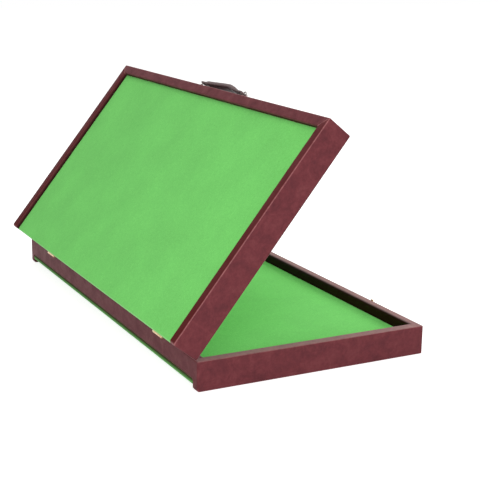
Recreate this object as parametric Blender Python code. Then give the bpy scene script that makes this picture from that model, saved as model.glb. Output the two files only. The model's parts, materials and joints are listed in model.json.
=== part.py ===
"""Folding mahjong table: two shallow felt-lined trays hinged along a long side, with a handle and two latches.

Each half is a frame of leatherette-wrapped walls around two felt-covered boards: the play board on its
outer side and the storage floor on its inner side. The lower half lies on its rim with its tray upwards,
and the lid stands half open. Units are metres, with +X from the hinge to the handle, +Y along the hinge
and +Z up.
"""
import math

import bmesh
import bpy

MM = 0.001

# Case
LENGTH = 500 * MM
WIDTH = 250 * MM
CLOSED_HEIGHT = 60 * MM
OPEN_ANGLE = math.radians(51.5)
SEAM_GAP = 0.4 * MM
CLEARANCE = 0.3 * MM

# Walls: a fibreboard core inside a leatherette wrap
WALL = 11 * MM
WRAP = 0.7 * MM
WRAP_TUCK = 0.5 * MM
EDGE_RADIUS = 1.5 * MM
RIM_HEIGHT = 5 * MM
RIM_END_RADIUS = 3 * MM
SLOT_OVERHANG = 2.75 * MM
MITRE_REACH = 44 * MM

# Boards and felts
FELT = 0.8 * MM
PLAY_BOARD = 3.6 * MM
STORAGE_BOARD = 3 * MM
BATTEN_WIDTH = 30 * MM
BATTEN_HEIGHT = 5.2 * MM

# Hinges
HINGE_INSET = 87 * MM
HINGE_LENGTH = 22 * MM
HINGE_AXIS_OUT = 1.2 * MM
OUTER_KNUCKLE = 7 * MM
LEAF_REACH = 8 * MM
LEAF_THICKNESS = 0.8 * MM
LEAF_SEAM_GAP = 0.1 * MM
HINGE_PIN_RADIUS = 0.6 * MM
HINGE_SCREW_SPACING = 13 * MM
NOTCH_END_PLAY = 0.6 * MM

# Screws
SCREW_HEAD_RADIUS = 1.5 * MM
SCREW_SHANK_RADIUS = 0.8 * MM
SCREW_LENGTH = 8 * MM
COUNTERSINK = 0.7 * MM
SCREW_RECESS_RADIUS = 0.7 * MM
SCREW_RECESS_DEPTH = 0.4 * MM
FACING_FRONT = math.pi / 2
FACING_SEAM = math.pi

# Latches
LATCH_INSET = 94 * MM
LATCH_WIDTH = 20 * MM
LATCH_PLATE = 0.8 * MM
LATCH_PIN_RADIUS = 0.6 * MM
LATCH_BASE_HEIGHT = 11 * MM
LATCH_SCREW_SPACING = 13 * MM
FLAP_WIDTH = 14 * MM
FLAP_KNUCKLE = 10 * MM
FLAP_TAIL = 5 * MM
FLAP_LIP = 2 * MM
STUD_DROP = 8 * MM
STUD_RADIUS = 2 * MM
STUD_CHAMFER = 1 * MM
STUD_REACH = 2.6 * MM
STUD_SHANK_RADIUS = 1.1 * MM
STUD_SHANK_LENGTH = 8 * MM
STUD_CLEARANCE = 0.6 * MM
KEEPER_HEIGHT = 10 * MM
TONGUE_WIDTH = 4 * MM
TONGUE_RISE = 0.5 * MM
TONGUE_CLEARANCE = 1.8 * MM

# Handle: a soft strap whose slack lies towards the near end, on two rings
EYE_SPACING = 103 * MM
EYE_PLATE_LENGTH = 6 * MM
EYE_PLATE_HEIGHT = 12 * MM
EYE_PLATE = 0.8 * MM
EYE_WALL = 0.9 * MM
EYE_LENGTH = 5 * MM
EYE_SHANK_RADIUS = 1.1 * MM
EYE_SHANK_LENGTH = 7 * MM
RING_WIRE_RADIUS = 0.9 * MM
RING_PLAY = 0.4 * MM
RING_STRAP_SIDE = 5.5 * MM
RING_OUTER_SIDE = 10 * MM
RING_REACH = 7 * MM
RING_CREST = 3 * MM
RING_CORNER = 1.5 * MM
TAB_END = 2.2 * MM
TAB_LENGTH = 8 * MM
TAB_WIDTH = 12 * MM
TAB_THICKNESS = 2.4 * MM
TAB_REACH = 4 * MM
GRIP_CREST_Y = -19 * MM
GRIP_SWELL = 10 * MM
GRIP_WIDTH = 15 * MM
GRIP_THICKNESS = 4.4 * MM
GRIP_REACH = 6.9 * MM
GRIP_CORNER_SHARE = 0.9

# How finely curves are cut
ARC_STEPS = 4
EDGE_STEPS = 3
ROUND_SIDES = 20
SCREW_SIDES = 12
GRIP_STATIONS = 24
GRIP_SIDES = 16
WIRE_STEPS = 2

# Levels in a half, measured outwards from the seam where the two lips meet
LIP = SEAM_GAP / 2
RIM_TOP = CLOSED_HEIGHT / 2
PLAY_LEVEL = RIM_TOP - RIM_HEIGHT
PLAY_BOARD_HIGH = PLAY_LEVEL - FELT - CLEARANCE
PLAY_BOARD_LOW = PLAY_BOARD_HIGH - PLAY_BOARD
BATTEN_HIGH = PLAY_BOARD_LOW - CLEARANCE
BATTEN_LOW = BATTEN_HIGH - BATTEN_HEIGHT
STORAGE_BOARD_HIGH = BATTEN_LOW - CLEARANCE
STORAGE_BOARD_LOW = STORAGE_BOARD_HIGH - STORAGE_BOARD
STORAGE_LEVEL = STORAGE_BOARD_LOW - CLEARANCE - FELT
HINGE_WALL_FOOT = PLAY_BOARD_LOW - CLEARANCE

# Depths in a wall, measured from its outer face
CORE_OUTER = WRAP + CLEARANCE
CORE_INNER = WALL - WRAP - CLEARANCE
BOARD_EDGE = CORE_INNER + CLEARANCE
FELT_EDGE = WALL + CLEARANCE

# Hinge, latch and handle axes
HINGE_KNUCKLE_RADIUS = HINGE_PIN_RADIUS + CLEARANCE + LEAF_THICKNESS
HINGE_AXIS_X = -HINGE_AXIS_OUT
HINGE_Y = LENGTH / 2 - HINGE_INSET
LATCH_KNUCKLE_RADIUS = LATCH_PIN_RADIUS + CLEARANCE + LATCH_PLATE
LATCH_AXIS_X = WIDTH + CLEARANCE + LATCH_KNUCKLE_RADIUS
LATCH_AXIS_HEIGHT = TONGUE_RISE + TONGUE_CLEARANCE + LATCH_KNUCKLE_RADIUS
LATCH_Y = LENGTH / 2 - LATCH_INSET
FRONT_PLATE_X = WIDTH + CLEARANCE
EYE_RADIUS = RING_WIRE_RADIUS + RING_PLAY + EYE_WALL
HANDLE_AXIS_X = FRONT_PLATE_X + EYE_PLATE + EYE_RADIUS
HANDLE_AXIS_HEIGHT = RIM_TOP / 2
STRAP_BAR_Y = EYE_SPACING / 2 - RING_STRAP_SIDE

# Finishes: an sRGB hex colour, a roughness and how metallic it is
LEATHERETTE = ("733A40", 0.45, 0.0)
FELT_GREEN = ("70C86B", 0.95, 0.0)
FIBREBOARD = ("A9825A", 0.8, 0.0)
BRASS = ("D7B98C", 0.3, 1.0)
NICKEL = ("B8B2B0", 0.3, 1.0)
HANDLE_LEATHER = ("4A3C3C", 0.5, 0.0)


def clear_scene():
    """Remove every object."""
    for obj in list(bpy.data.objects):
        bpy.data.objects.remove(obj, do_unlink=True)


def linear(channel):
    """One sRGB channel, 0 to 1, as a linear value."""
    return channel / 12.92 if channel <= 0.04045 else ((channel + 0.055) / 1.055) ** 2.4


def finish(name, colour, roughness, metallic):
    """A plain material of one colour."""
    material = bpy.data.materials.new(name)
    material.use_nodes = True
    shader = material.node_tree.nodes["Principled BSDF"]
    channels = [linear(int(colour[i:i + 2], 16) / 255) for i in (0, 2, 4)]
    shader.inputs["Base Color"].default_value = (*channels, 1.0)
    shader.inputs["Roughness"].default_value = roughness
    shader.inputs["Metallic"].default_value = metallic
    return material


def empty(name, parent=None, location=(0, 0, 0), rotation=(0, 0, 0)):
    """A frame that pieces are placed in."""
    frame = bpy.data.objects.new(name, None)
    bpy.context.scene.collection.objects.link(frame)
    frame.parent = parent
    frame.location = location
    frame.rotation_euler = rotation
    return frame


def place(name, data, parent, location, material):
    """Link an object with its mesh or curve; without a material it is a cutter."""
    obj = bpy.data.objects.new(name, data)
    bpy.context.scene.collection.objects.link(obj)
    obj.parent = parent
    obj.location = location
    if material is None:
        obj.hide_render = True
        obj.display_type = "WIRE"
    else:
        data.materials.append(material)
    return obj


def mesh_from(name, points, faces):
    """A mesh with its faces turned outwards."""
    mesh = bpy.data.meshes.new(name)
    shape = bmesh.new()
    corners = [shape.verts.new(point) for point in points]
    for face in faces:
        shape.faces.new([corners[i] for i in face])
    bmesh.ops.recalc_face_normals(shape, faces=shape.faces)
    shape.to_mesh(mesh)
    shape.free()
    return mesh


def loft_mesh(name, rings):
    """A closed mesh through rings of equally many points, with flat ends."""
    count = len(rings[0])
    points = [point for ring in rings for point in ring]
    faces = [list(range(count)), list(range(len(points) - count, len(points)))]
    for row in range(len(rings) - 1):
        for i in range(count):
            j = (i + 1) % count
            faces.append([row * count + i, row * count + j, (row + 1) * count + j, (row + 1) * count + i])
    return mesh_from(name, points, faces)


def prism(name, outline, axis, depth, parent, location, material=None):
    """Extrude an outline half its depth to each side of its own plane.

    The outline is in (y, z) for axis X, in (x, z) for axis Y and in (x, y) for axis Z.
    """
    order = {"X": (2, 0, 1), "Y": (0, 2, 1), "Z": (0, 1, 2)}[axis]
    rings = []
    for end in (-depth / 2, depth / 2):
        triples = [(a, b, end) for a, b in outline]
        rings.append([tuple(triple[i] for i in order) for triple in triples])
    return place(name, loft_mesh(name, rings), parent, location, material)


def box(name, low, high, parent, material=None):
    """A box between two corners, with its origin at its middle."""
    middle = [(a + b) / 2 for a, b in zip(low, high)]
    half = [(b - a) / 2 for a, b in zip(low, high)]
    outline = [(-half[0], -half[1]), (half[0], -half[1]), (half[0], half[1]), (-half[0], half[1])]
    return prism(name, outline, "Z", 2 * half[2], parent, middle, material)


def arc(centre, radius, start, stop, steps):
    """Points along an arc, both ends included."""
    angles = [start + (stop - start) * i / steps for i in range(steps + 1)]
    return [(centre[0] + radius * math.cos(a), centre[1] + radius * math.sin(a)) for a in angles]


def circle(radius, sides=ROUND_SIDES, centre=(0, 0)):
    """A round outline, with flats on the axes."""
    start = math.pi / sides
    return arc(centre, radius, start, start + 2 * math.pi, sides)[:-1]


def rounded_outline(low, high, radii, steps=ARC_STEPS):
    """A rectangle with a radius for each corner, from the low corner round by the low right one."""
    corners = [(low[0], low[1]), (high[0], low[1]), (high[0], high[1]), (low[0], high[1])]
    inward = [(1, 1), (-1, 1), (-1, -1), (1, -1)]
    points = []
    for quarter, (corner, turn, radius) in enumerate(zip(corners, inward, radii)):
        if radius:
            centre = (corner[0] + turn[0] * radius, corner[1] + turn[1] * radius)
            start = math.pi + quarter * math.pi / 2
            points += arc(centre, radius, start, start + math.pi / 2, steps)
        else:
            points.append(corner)
    return points


def filleted(corners, radius, steps=ARC_STEPS):
    """A polygon's outline with every corner rounded."""
    points = []
    count = len(corners)
    for i, corner in enumerate(corners):
        arms = []
        for other in (corners[i - 1], corners[(i + 1) % count]):
            span = math.dist(corner, other)
            arms.append(((other[0] - corner[0]) / span, (other[1] - corner[1]) / span))
        (ax, ay), (bx, by) = arms
        half = math.acos(ax * bx + ay * by) / 2
        reach = radius / math.tan(half)
        start = (corner[0] + ax * reach, corner[1] + ay * reach)
        stop = (corner[0] + bx * reach, corner[1] + by * reach)
        for step in range(steps + 1):
            share = step / steps
            first, middle, last = (1 - share) ** 2, 2 * share * (1 - share), share ** 2
            points.append(tuple(first * s + middle * c + last * e for s, c, e in zip(start, corner, stop)))
    return points


def turned_mesh(name, profile, sides):
    """A solid turned about Z from (radius, height) pairs that start and end on the axis."""
    points = [(0, 0, profile[0][1])]
    faces = []
    rows = profile[1:-1]
    for radius, height in rows:
        points += [(x, y, height) for x, y in circle(radius, sides)]
    points.append((0, 0, profile[-1][1]))
    last = len(points) - 1
    for i in range(sides):
        j = (i + 1) % sides
        faces.append([0, 1 + i, 1 + j])
        for row in range(len(rows) - 1):
            base = 1 + row * sides
            faces.append([base + i, base + j, base + sides + j, base + sides + i])
        faces.append([last, last - sides + j, last - sides + i])
    return mesh_from(name, points, faces)


def cut(piece, *cutters, solver="EXACT"):
    """Take cutters out of a piece."""
    for cutter in cutters:
        modifier = piece.modifiers.new(cutter.name, "BOOLEAN")
        modifier.operation = "DIFFERENCE"
        modifier.object = cutter
        modifier.solver = solver


def fuse(piece, *others):
    """Join other shapes, which stay behind as guides, into a piece."""
    for other in others:
        modifier = piece.modifiers.new(other.name, "BOOLEAN")
        modifier.operation = "UNION"
        modifier.object = other


def round_edges(piece, radius):
    """Round every sharp edge."""
    modifier = piece.modifiers.new("edges", "BEVEL")
    modifier.width = radius
    modifier.segments = EDGE_STEPS
    modifier.limit_method = "ANGLE"


class Half:
    """One half of the case, built outwards from the seam in its own frame."""

    def __init__(self, name, frame, flip, finishes):
        self.name = name
        self.frame = frame
        self.flip = flip
        self.finishes = finishes
        self.front = None
        self.hinge_core = None

    def end_y(self, end):
        """Sign of local Y at the near (-Y) or far (+Y) end."""
        return self.flip * {"near": -1, "far": 1}[end]

    def mitre(self, end, wall):
        """A cutter that trims a wall to the 45 degree joint at the front corner of an end."""
        sign = self.end_y(end)
        reach = MITRE_REACH
        keep = -1 if wall == "front" else 1
        shift = keep * (reach - CLEARANCE / 2) / math.sqrt(2)
        location = (WIDTH + shift, sign * (LENGTH / 2 - shift), RIM_TOP / 2)
        outline = [(-reach, -reach), (reach, -reach), (reach, reach), (-reach, reach)]
        name = f"{self.name}_{end}_{wall}_mitre"
        cutter = prism(name, outline, "Z", 2 * RIM_TOP, self.frame, location)
        cutter.rotation_euler = (0, 0, math.pi / 4)
        return cutter

    def tray_slot(self, wall, low, high):
        """A cutter that opens a wrap's inner side where the boards are glued to the core."""
        return box(f"{self.name}_{wall}_slot", low, high, self.frame)

    def end_wall(self, end):
        """An end wall: core and wrap, with a rounded rim end beside the hinge."""
        sign = self.end_y(end)
        label = f"{self.name}_{end}"

        def panel(name, inset, front, material=None):
            radius = RIM_END_RADIUS - inset
            outline = rounded_outline((inset, LIP + inset), (front, RIM_TOP - inset), (0, 0, 0, radius))
            place_y = sign * (LENGTH / 2 - WALL / 2)
            return prism(name, outline, "Y", WALL - 2 * inset, self.frame, (0, place_y, 0), material)

        mitre = self.mitre(end, "end")
        core = panel(f"{label}_wall", CORE_OUTER, WIDTH - CORE_OUTER, self.finishes["board"])
        cut(core, mitre)
        wrap = panel(f"{label}_wrap", 0, WIDTH, self.finishes["leatherette"])
        round_edges(wrap, EDGE_RADIUS)
        cavity = panel(f"{label}_cavity", WRAP, WIDTH + WALL)
        inner = sorted((sign * (LENGTH / 2 - WALL), sign * (LENGTH / 2 - CORE_INNER)))
        slot = self.tray_slot(end, (WRAP, inner[0] - SLOT_OVERHANG, STORAGE_LEVEL + WRAP_TUCK),
                              (WIDTH, inner[1] + SLOT_OVERHANG, PLAY_LEVEL - WRAP_TUCK))
        cut(wrap, cavity, slot, mitre)

    def front_wall(self):
        """The front wall: core and wrap, mitred into both end walls."""
        half = LENGTH / 2
        mitres = [self.mitre(end, "front") for end in ("near", "far")]
        core = box(f"{self.name}_front_wall", (WIDTH - CORE_INNER, -half + CORE_OUTER, LIP + CORE_OUTER),
                   (WIDTH - CORE_OUTER, half - CORE_OUTER, RIM_TOP - CORE_OUTER), self.frame,
                   self.finishes["board"])
        wrap = box(f"{self.name}_front_wrap", (WIDTH - WALL, -half, LIP), (WIDTH, half, RIM_TOP), self.frame,
                   self.finishes["leatherette"])
        round_edges(wrap, EDGE_RADIUS)
        cavity = box(f"{self.name}_front_cavity", (WIDTH - WALL + WRAP, -half - WALL, LIP + WRAP),
                     (WIDTH - WRAP, half + WALL, RIM_TOP - WRAP), self.frame)
        slot = self.tray_slot("front", (WIDTH - WALL - SLOT_OVERHANG, -half, STORAGE_LEVEL + WRAP_TUCK),
                              (WIDTH - WALL + SLOT_OVERHANG, half, PLAY_LEVEL - WRAP_TUCK))
        cut(core, *mitres)
        cut(wrap, cavity, slot, *mitres)
        self.front = (core, wrap)

    def hinge_wall(self):
        """The hinge wall, which stands on the play board between the end walls."""
        half = LENGTH / 2 - WALL - CLEARANCE
        core = box(f"{self.name}_hinge_wall", (CORE_OUTER, -half, LIP + CORE_OUTER),
                   (CORE_INNER, half, HINGE_WALL_FOOT - CORE_OUTER), self.frame, self.finishes["board"])
        radii = (EDGE_RADIUS, EDGE_RADIUS, 0, EDGE_RADIUS)
        outline = rounded_outline((0, LIP), (WALL, HINGE_WALL_FOOT), radii)
        wrap = prism(f"{self.name}_hinge_wrap", outline, "Y", 2 * half, self.frame, (0, 0, 0),
                     self.finishes["leatherette"])
        cavity = box(f"{self.name}_hinge_cavity", (WRAP, -half - WALL, LIP + WRAP),
                     (WALL - WRAP, half + WALL, HINGE_WALL_FOOT - WRAP), self.frame)
        slot = self.tray_slot("hinge", (WALL - SLOT_OVERHANG, -half - WALL, STORAGE_LEVEL + WRAP_TUCK),
                              (WALL + SLOT_OVERHANG, half + WALL, HINGE_WALL_FOOT - 2 * WRAP))
        cut(wrap, cavity, slot)
        reach = HINGE_LENGTH / 2 + NOTCH_END_PLAY
        for end in ("near", "far"):
            y = self.end_y(end) * HINGE_Y
            notch = prism(f"{self.name}_{end}_notch", circle(HINGE_KNUCKLE_RADIUS + CLEARANCE), "Y", 2 * reach,
                          self.frame, (HINGE_AXIS_X, y, 0))
            recess = box(f"{self.name}_{end}_recess", (-WRAP, y - reach, -LIP),
                         (LEAF_REACH + CLEARANCE, y + reach, LIP + WRAP + CLEARANCE / 2), self.frame)
            cut(wrap, notch, recess)
        self.hinge_core = core

    def boards(self):
        """The play board and storage floor, their felts and the batten between the boards."""
        board_x, board_y = WIDTH - BOARD_EDGE, LENGTH / 2 - BOARD_EDGE
        felt_x, felt_y = WIDTH - FELT_EDGE, LENGTH / 2 - FELT_EDGE
        board, felt = self.finishes["board"], self.finishes["felt"]
        box(f"{self.name}_storage_board", (BOARD_EDGE, -board_y, STORAGE_BOARD_LOW),
            (board_x, board_y, STORAGE_BOARD_HIGH), self.frame, board)
        box(f"{self.name}_storage_felt", (FELT_EDGE, -felt_y, STORAGE_LEVEL),
            (felt_x, felt_y, STORAGE_LEVEL + FELT), self.frame, felt)
        box(f"{self.name}_play_board", (FELT + CLEARANCE, -felt_y, PLAY_BOARD_LOW),
            (board_x, felt_y, PLAY_BOARD_HIGH), self.frame, board)
        turn = arc((FELT, PLAY_LEVEL - FELT), FELT, math.pi / 2, math.pi, ARC_STEPS)
        outline = [(felt_x, PLAY_LEVEL)] + turn
        outline += [(0, PLAY_BOARD_LOW), (FELT, PLAY_BOARD_LOW), (FELT, PLAY_LEVEL - FELT)]
        outline += [(felt_x, PLAY_LEVEL - FELT)]
        prism(f"{self.name}_play_felt", outline, "Y", 2 * felt_y, self.frame, (0, 0, 0), felt)
        batten_y = felt_y - CLEARANCE
        box(f"{self.name}_batten", ((WIDTH - BATTEN_WIDTH) / 2, -batten_y, BATTEN_LOW),
            ((WIDTH + BATTEN_WIDTH) / 2, batten_y, BATTEN_HIGH), self.frame, board)

    def build(self):
        """Make every piece of the half."""
        for end in ("near", "far"):
            self.end_wall(end)
        self.front_wall()
        self.hinge_wall()
        self.boards()


class Screws:
    """Countersunk screws, which share one mesh, and the holes they sit in."""

    def __init__(self, material):
        floor = -SCREW_RECESS_DEPTH
        profile = [(0, floor), (SCREW_RECESS_RADIUS, floor), (SCREW_RECESS_RADIUS, 0), (SCREW_HEAD_RADIUS, 0),
                   (SCREW_SHANK_RADIUS, -COUNTERSINK), (SCREW_SHANK_RADIUS, -SCREW_LENGTH), (0, -SCREW_LENGTH)]
        self.mesh = turned_mesh("screw", profile, SCREW_SIDES)
        self.mesh.materials.append(material)
        head, shank = SCREW_HEAD_RADIUS + CLEARANCE, SCREW_SHANK_RADIUS + CLEARANCE
        end = -SCREW_LENGTH - CLEARANCE
        profile = [(0, LEAF_THICKNESS), (head, LEAF_THICKNESS), (head, 0), (shank, -COUNTERSINK), (shank, end),
                   (0, end)]
        self.hole_mesh = turned_mesh("screw_hole", profile, SCREW_SIDES)

    def drive(self, name, frame, location, facing, *through):
        """Put a screw in, its head turned about local Y from +Z to its facing, and cut its hole through pieces."""
        turn = (0, facing, 0)
        screw = bpy.data.objects.new(name, self.mesh)
        bpy.context.scene.collection.objects.link(screw)
        screw.parent = frame
        screw.location = location
        screw.rotation_euler = turn
        hole = place(f"{name}_hole", self.hole_mesh, frame, location, None)
        hole.rotation_euler = turn
        for piece in through:
            cut(piece, hole, solver="MANIFOLD")


def leaf_outline(spans):
    """A hinge leaf seen from the seam in (x, y), with a tab out to each of its own knuckles."""
    half = HINGE_LENGTH / 2
    foot = HINGE_AXIS_X + HINGE_KNUCKLE_RADIUS + CLEARANCE
    tip = HINGE_AXIS_X + HINGE_PIN_RADIUS
    points = [(LEAF_REACH, -half), (LEAF_REACH, half)]
    here = half
    for low, high in reversed(spans):
        if high < here:
            points += [(foot, here), (foot, high)]
        points += [(tip, high), (tip, low)]
        here = low
    if here > -half:
        points += [(foot, here), (foot, -half)]
    return points


def hinge_leaf(name, half, end, spans, screws, material):
    """A leaf let into the lip of a half's hinge wall, with its knuckles and two screws."""
    y = half.end_y(end) * HINGE_Y
    level = LEAF_SEAM_GAP + LEAF_THICKNESS / 2
    leaf = prism(name, leaf_outline(spans), "Z", LEAF_THICKNESS, half.frame, (0, y, level), material)
    for number, (low, high) in enumerate(spans):
        centre = (HINGE_AXIS_X, y + (low + high) / 2, 0)
        knuckle = prism(f"{name}_knuckle_{number}", circle(HINGE_KNUCKLE_RADIUS), "Y", high - low, half.frame,
                        centre)
        fuse(leaf, knuckle)
    bore = prism(f"{name}_bore", circle(HINGE_PIN_RADIUS + CLEARANCE), "Y", 2 * HINGE_LENGTH, half.frame,
                 (HINGE_AXIS_X, y, 0))
    cut(leaf, bore)
    middle = (HINGE_AXIS_X + HINGE_KNUCKLE_RADIUS + CLEARANCE + LEAF_REACH) / 2
    for side, offset in (("a", -HINGE_SCREW_SPACING / 2), ("b", HINGE_SCREW_SPACING / 2)):
        location = (middle, y + offset, LEAF_SEAM_GAP)
        screws.drive(f"{name}_screw_{side}", half.frame, location, FACING_SEAM, leaf, half.hinge_core)


def hinge(end, lower, lid, screws, material):
    """A butt hinge: two leaves and the pin, which stays in the lower leaf's outer knuckles."""
    half = HINGE_LENGTH / 2
    inner = half - OUTER_KNUCKLE
    outer_spans = [(-half, -inner), (inner, half)]
    inner_spans = [(-inner + CLEARANCE, inner - CLEARANCE)]
    hinge_leaf(f"{end}_hinge_lower_leaf", lower, end, outer_spans, screws, material)
    hinge_leaf(f"{end}_hinge_lid_leaf", lid, end, inner_spans, screws, material)
    prism(f"{end}_hinge_pin", circle(HINGE_PIN_RADIUS, SCREW_SIDES), "Y", HINGE_LENGTH, lower.frame,
          (HINGE_AXIS_X, lower.end_y(end) * HINGE_Y, 0), material)


def latch_base(end, lid, screws, material):
    """The plate on the lid's front wall that carries the flap on two knuckles, with its pin and screws."""
    y = lid.end_y(end) * LATCH_Y
    half, middle = LATCH_WIDTH / 2, FLAP_KNUCKLE / 2 + CLEARANCE
    foot = LATCH_AXIS_HEIGHT + LATCH_KNUCKLE_RADIUS + CLEARANCE
    top = foot + LATCH_BASE_HEIGHT
    tab = LATCH_AXIS_HEIGHT
    outline = [(half, top), (-half, top), (-half, tab), (-middle, tab), (-middle, foot), (middle, foot),
               (middle, tab), (half, tab)]
    x = FRONT_PLATE_X + LATCH_PLATE / 2
    base = prism(f"{end}_latch_base", outline, "X", LATCH_PLATE, lid.frame, (x, y, 0), material)
    for side, sign in (("a", -1), ("b", 1)):
        centre = (LATCH_AXIS_X, y + sign * (half + middle) / 2, LATCH_AXIS_HEIGHT)
        knuckle = prism(f"{end}_latch_knuckle_{side}", circle(LATCH_KNUCKLE_RADIUS), "Y", half - middle, lid.frame,
                        centre)
        fuse(base, knuckle)
    bore = prism(f"{end}_latch_base_bore", circle(LATCH_PIN_RADIUS + CLEARANCE), "Y", 2 * LATCH_WIDTH, lid.frame,
                 (LATCH_AXIS_X, y, LATCH_AXIS_HEIGHT))
    cut(base, bore)
    prism(f"{end}_latch_pin", circle(LATCH_PIN_RADIUS, SCREW_SIDES), "Y", LATCH_WIDTH, lid.frame,
          (LATCH_AXIS_X, y, LATCH_AXIS_HEIGHT), material)
    for side, offset in (("a", -LATCH_SCREW_SPACING / 2), ("b", LATCH_SCREW_SPACING / 2)):
        location = (FRONT_PLATE_X + LATCH_PLATE, y + offset, (foot + top) / 2)
        screws.drive(f"{end}_latch_screw_{side}", lid.frame, location, FACING_FRONT, base, *lid.front)


def latch_flap(end, lid, material):
    """The flap that swings on the latch pin and drops its hole over the keeper's stud."""
    axis = empty(f"{end}_latch_axis", lid.frame, (LATCH_AXIS_X, lid.end_y(end) * LATCH_Y, LATCH_AXIS_HEIGHT))
    half, stem = FLAP_WIDTH / 2, FLAP_KNUCKLE / 2
    shoulder = LATCH_KNUCKLE_RADIUS + CLEARANCE
    hole_drop = LATCH_AXIS_HEIGHT + STUD_DROP
    tip = hole_drop + FLAP_TAIL
    outline = [(-stem, -LATCH_PIN_RADIUS), (-stem, -shoulder), (-half, -shoulder), (-half, -tip), (half, -tip),
               (half, -shoulder), (stem, -shoulder), (stem, -LATCH_PIN_RADIUS)]
    flap = prism(f"{end}_latch_flap", outline, "X", LATCH_PLATE, axis, (0, 0, 0), material)
    knuckle = prism(f"{end}_flap_knuckle", circle(LATCH_KNUCKLE_RADIUS), "Y", FLAP_KNUCKLE, axis, (0, 0, 0))
    lip = box(f"{end}_flap_lip", (0, -half, -tip - LATCH_PLATE / 2), (FLAP_LIP, half, -tip + LATCH_PLATE / 2), axis)
    bore = prism(f"{end}_flap_bore", circle(LATCH_PIN_RADIUS + CLEARANCE), "Y", LATCH_WIDTH, axis, (0, 0, 0))
    hole = prism(f"{end}_flap_hole", circle(STUD_RADIUS + STUD_CLEARANCE), "X", LATCH_WIDTH, axis,
                 (0, 0, -hole_drop))
    fuse(flap, knuckle, lip)
    cut(flap, bore, hole)


def keeper(end, lower, material):
    """The keeper plate on the lower front wall, with a locating tongue, and the stud that the flap catches."""
    y = lower.end_y(end) * LATCH_Y
    half, tongue = LATCH_WIDTH / 2, TONGUE_WIDTH / 2
    low, high = STUD_DROP - KEEPER_HEIGHT / 2, STUD_DROP + KEEPER_HEIGHT / 2
    outline = [(-half, high), (-half, low), (-tongue, low), (-tongue, -TONGUE_RISE), (tongue, -TONGUE_RISE),
               (tongue, low), (half, low), (half, high)]
    x = FRONT_PLATE_X + LATCH_PLATE / 2
    plate = prism(f"{end}_keeper", outline, "X", LATCH_PLATE, lower.frame, (x, y, 0), material)
    shank_end = -STUD_SHANK_LENGTH
    shoulder = STUD_REACH - STUD_CHAMFER
    profile = [(0, STUD_REACH), (STUD_RADIUS - STUD_CHAMFER, STUD_REACH), (STUD_RADIUS, shoulder),
               (STUD_RADIUS, CLEARANCE), (STUD_SHANK_RADIUS, CLEARANCE), (STUD_SHANK_RADIUS, shank_end),
               (0, shank_end)]
    stud = place(f"{end}_keeper_stud", turned_mesh("stud", profile, ROUND_SIDES), lower.frame,
                 (FRONT_PLATE_X + LATCH_PLATE, y, STUD_DROP), material)
    stud.rotation_euler = (0, math.pi / 2, 0)
    hole = prism(f"{end}_stud_hole", circle(STUD_SHANK_RADIUS + CLEARANCE), "X",
                 2 * (STUD_SHANK_LENGTH + CLEARANCE), lower.frame, (FRONT_PLATE_X + LATCH_PLATE, y, STUD_DROP))
    cut(plate, hole)
    for piece in lower.front:
        cut(piece, hole)


def handle_eye(end, lid, material):
    """A flanged eye, with a shank in the lid's front wall, that holds a handle ring."""
    y = lid.end_y(end) * EYE_SPACING / 2
    axis = (HANDLE_AXIS_X, y, HANDLE_AXIS_HEIGHT)
    plate_outer = FRONT_PLATE_X + EYE_PLATE
    plate = box(f"{end}_handle_eye", (FRONT_PLATE_X, y - EYE_PLATE_LENGTH / 2, axis[2] - EYE_PLATE_HEIGHT / 2),
                (plate_outer, y + EYE_PLATE_LENGTH / 2, axis[2] + EYE_PLATE_HEIGHT / 2), lid.frame, material)
    neck = box(f"{end}_eye_neck", (plate_outer - EYE_PLATE / 2, y - EYE_LENGTH / 2, axis[2] - EYE_WALL),
               (axis[0], y + EYE_LENGTH / 2, axis[2] + EYE_WALL), lid.frame)
    tube = prism(f"{end}_eye_tube", circle(EYE_RADIUS), "Y", EYE_LENGTH, lid.frame, axis)
    shank_middle = FRONT_PLATE_X + (EYE_PLATE - EYE_SHANK_LENGTH) / 2
    shank = prism(f"{end}_eye_shank", circle(EYE_SHANK_RADIUS, SCREW_SIDES), "X", EYE_SHANK_LENGTH, lid.frame,
                  (shank_middle, y, axis[2]))
    bore = prism(f"{end}_eye_bore", circle(RING_WIRE_RADIUS + RING_PLAY), "Y", 2 * EYE_LENGTH, lid.frame, axis)
    fuse(plate, neck, tube, shank)
    cut(plate, bore)
    hole = prism(f"{end}_eye_hole", circle(EYE_SHANK_RADIUS + CLEARANCE, SCREW_SIDES), "X",
                 2 * (EYE_SHANK_LENGTH + CLEARANCE), lid.frame, (FRONT_PLATE_X, y, axis[2]))
    for piece in lid.front:
        cut(piece, hole)


def handle_ring(end, sign, frame, material):
    """A three-sided wire ring that turns in its eye and carries one end of the grip."""
    strap_side = -sign * RING_STRAP_SIDE
    crest_end = strap_side + sign * RING_CREST
    corners = [(strap_side, 0), (strap_side, RING_REACH), (crest_end, RING_REACH), (sign * RING_OUTER_SIDE, 0)]
    path = filleted(corners, RING_CORNER)
    curve = bpy.data.curves.new(f"{end}_handle_ring", "CURVE")
    curve.dimensions = "3D"
    curve.bevel_depth = RING_WIRE_RADIUS
    curve.bevel_resolution = WIRE_STEPS
    spline = curve.splines.new("POLY")
    spline.points.add(len(path) - 1)
    for point, (along, out) in zip(spline.points, path):
        point.co = (out, along, 0, 1)
    spline.use_cyclic_u = True
    place(f"{end}_handle_ring", curve, frame, (0, sign * EYE_SPACING / 2, 0), material)


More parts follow.
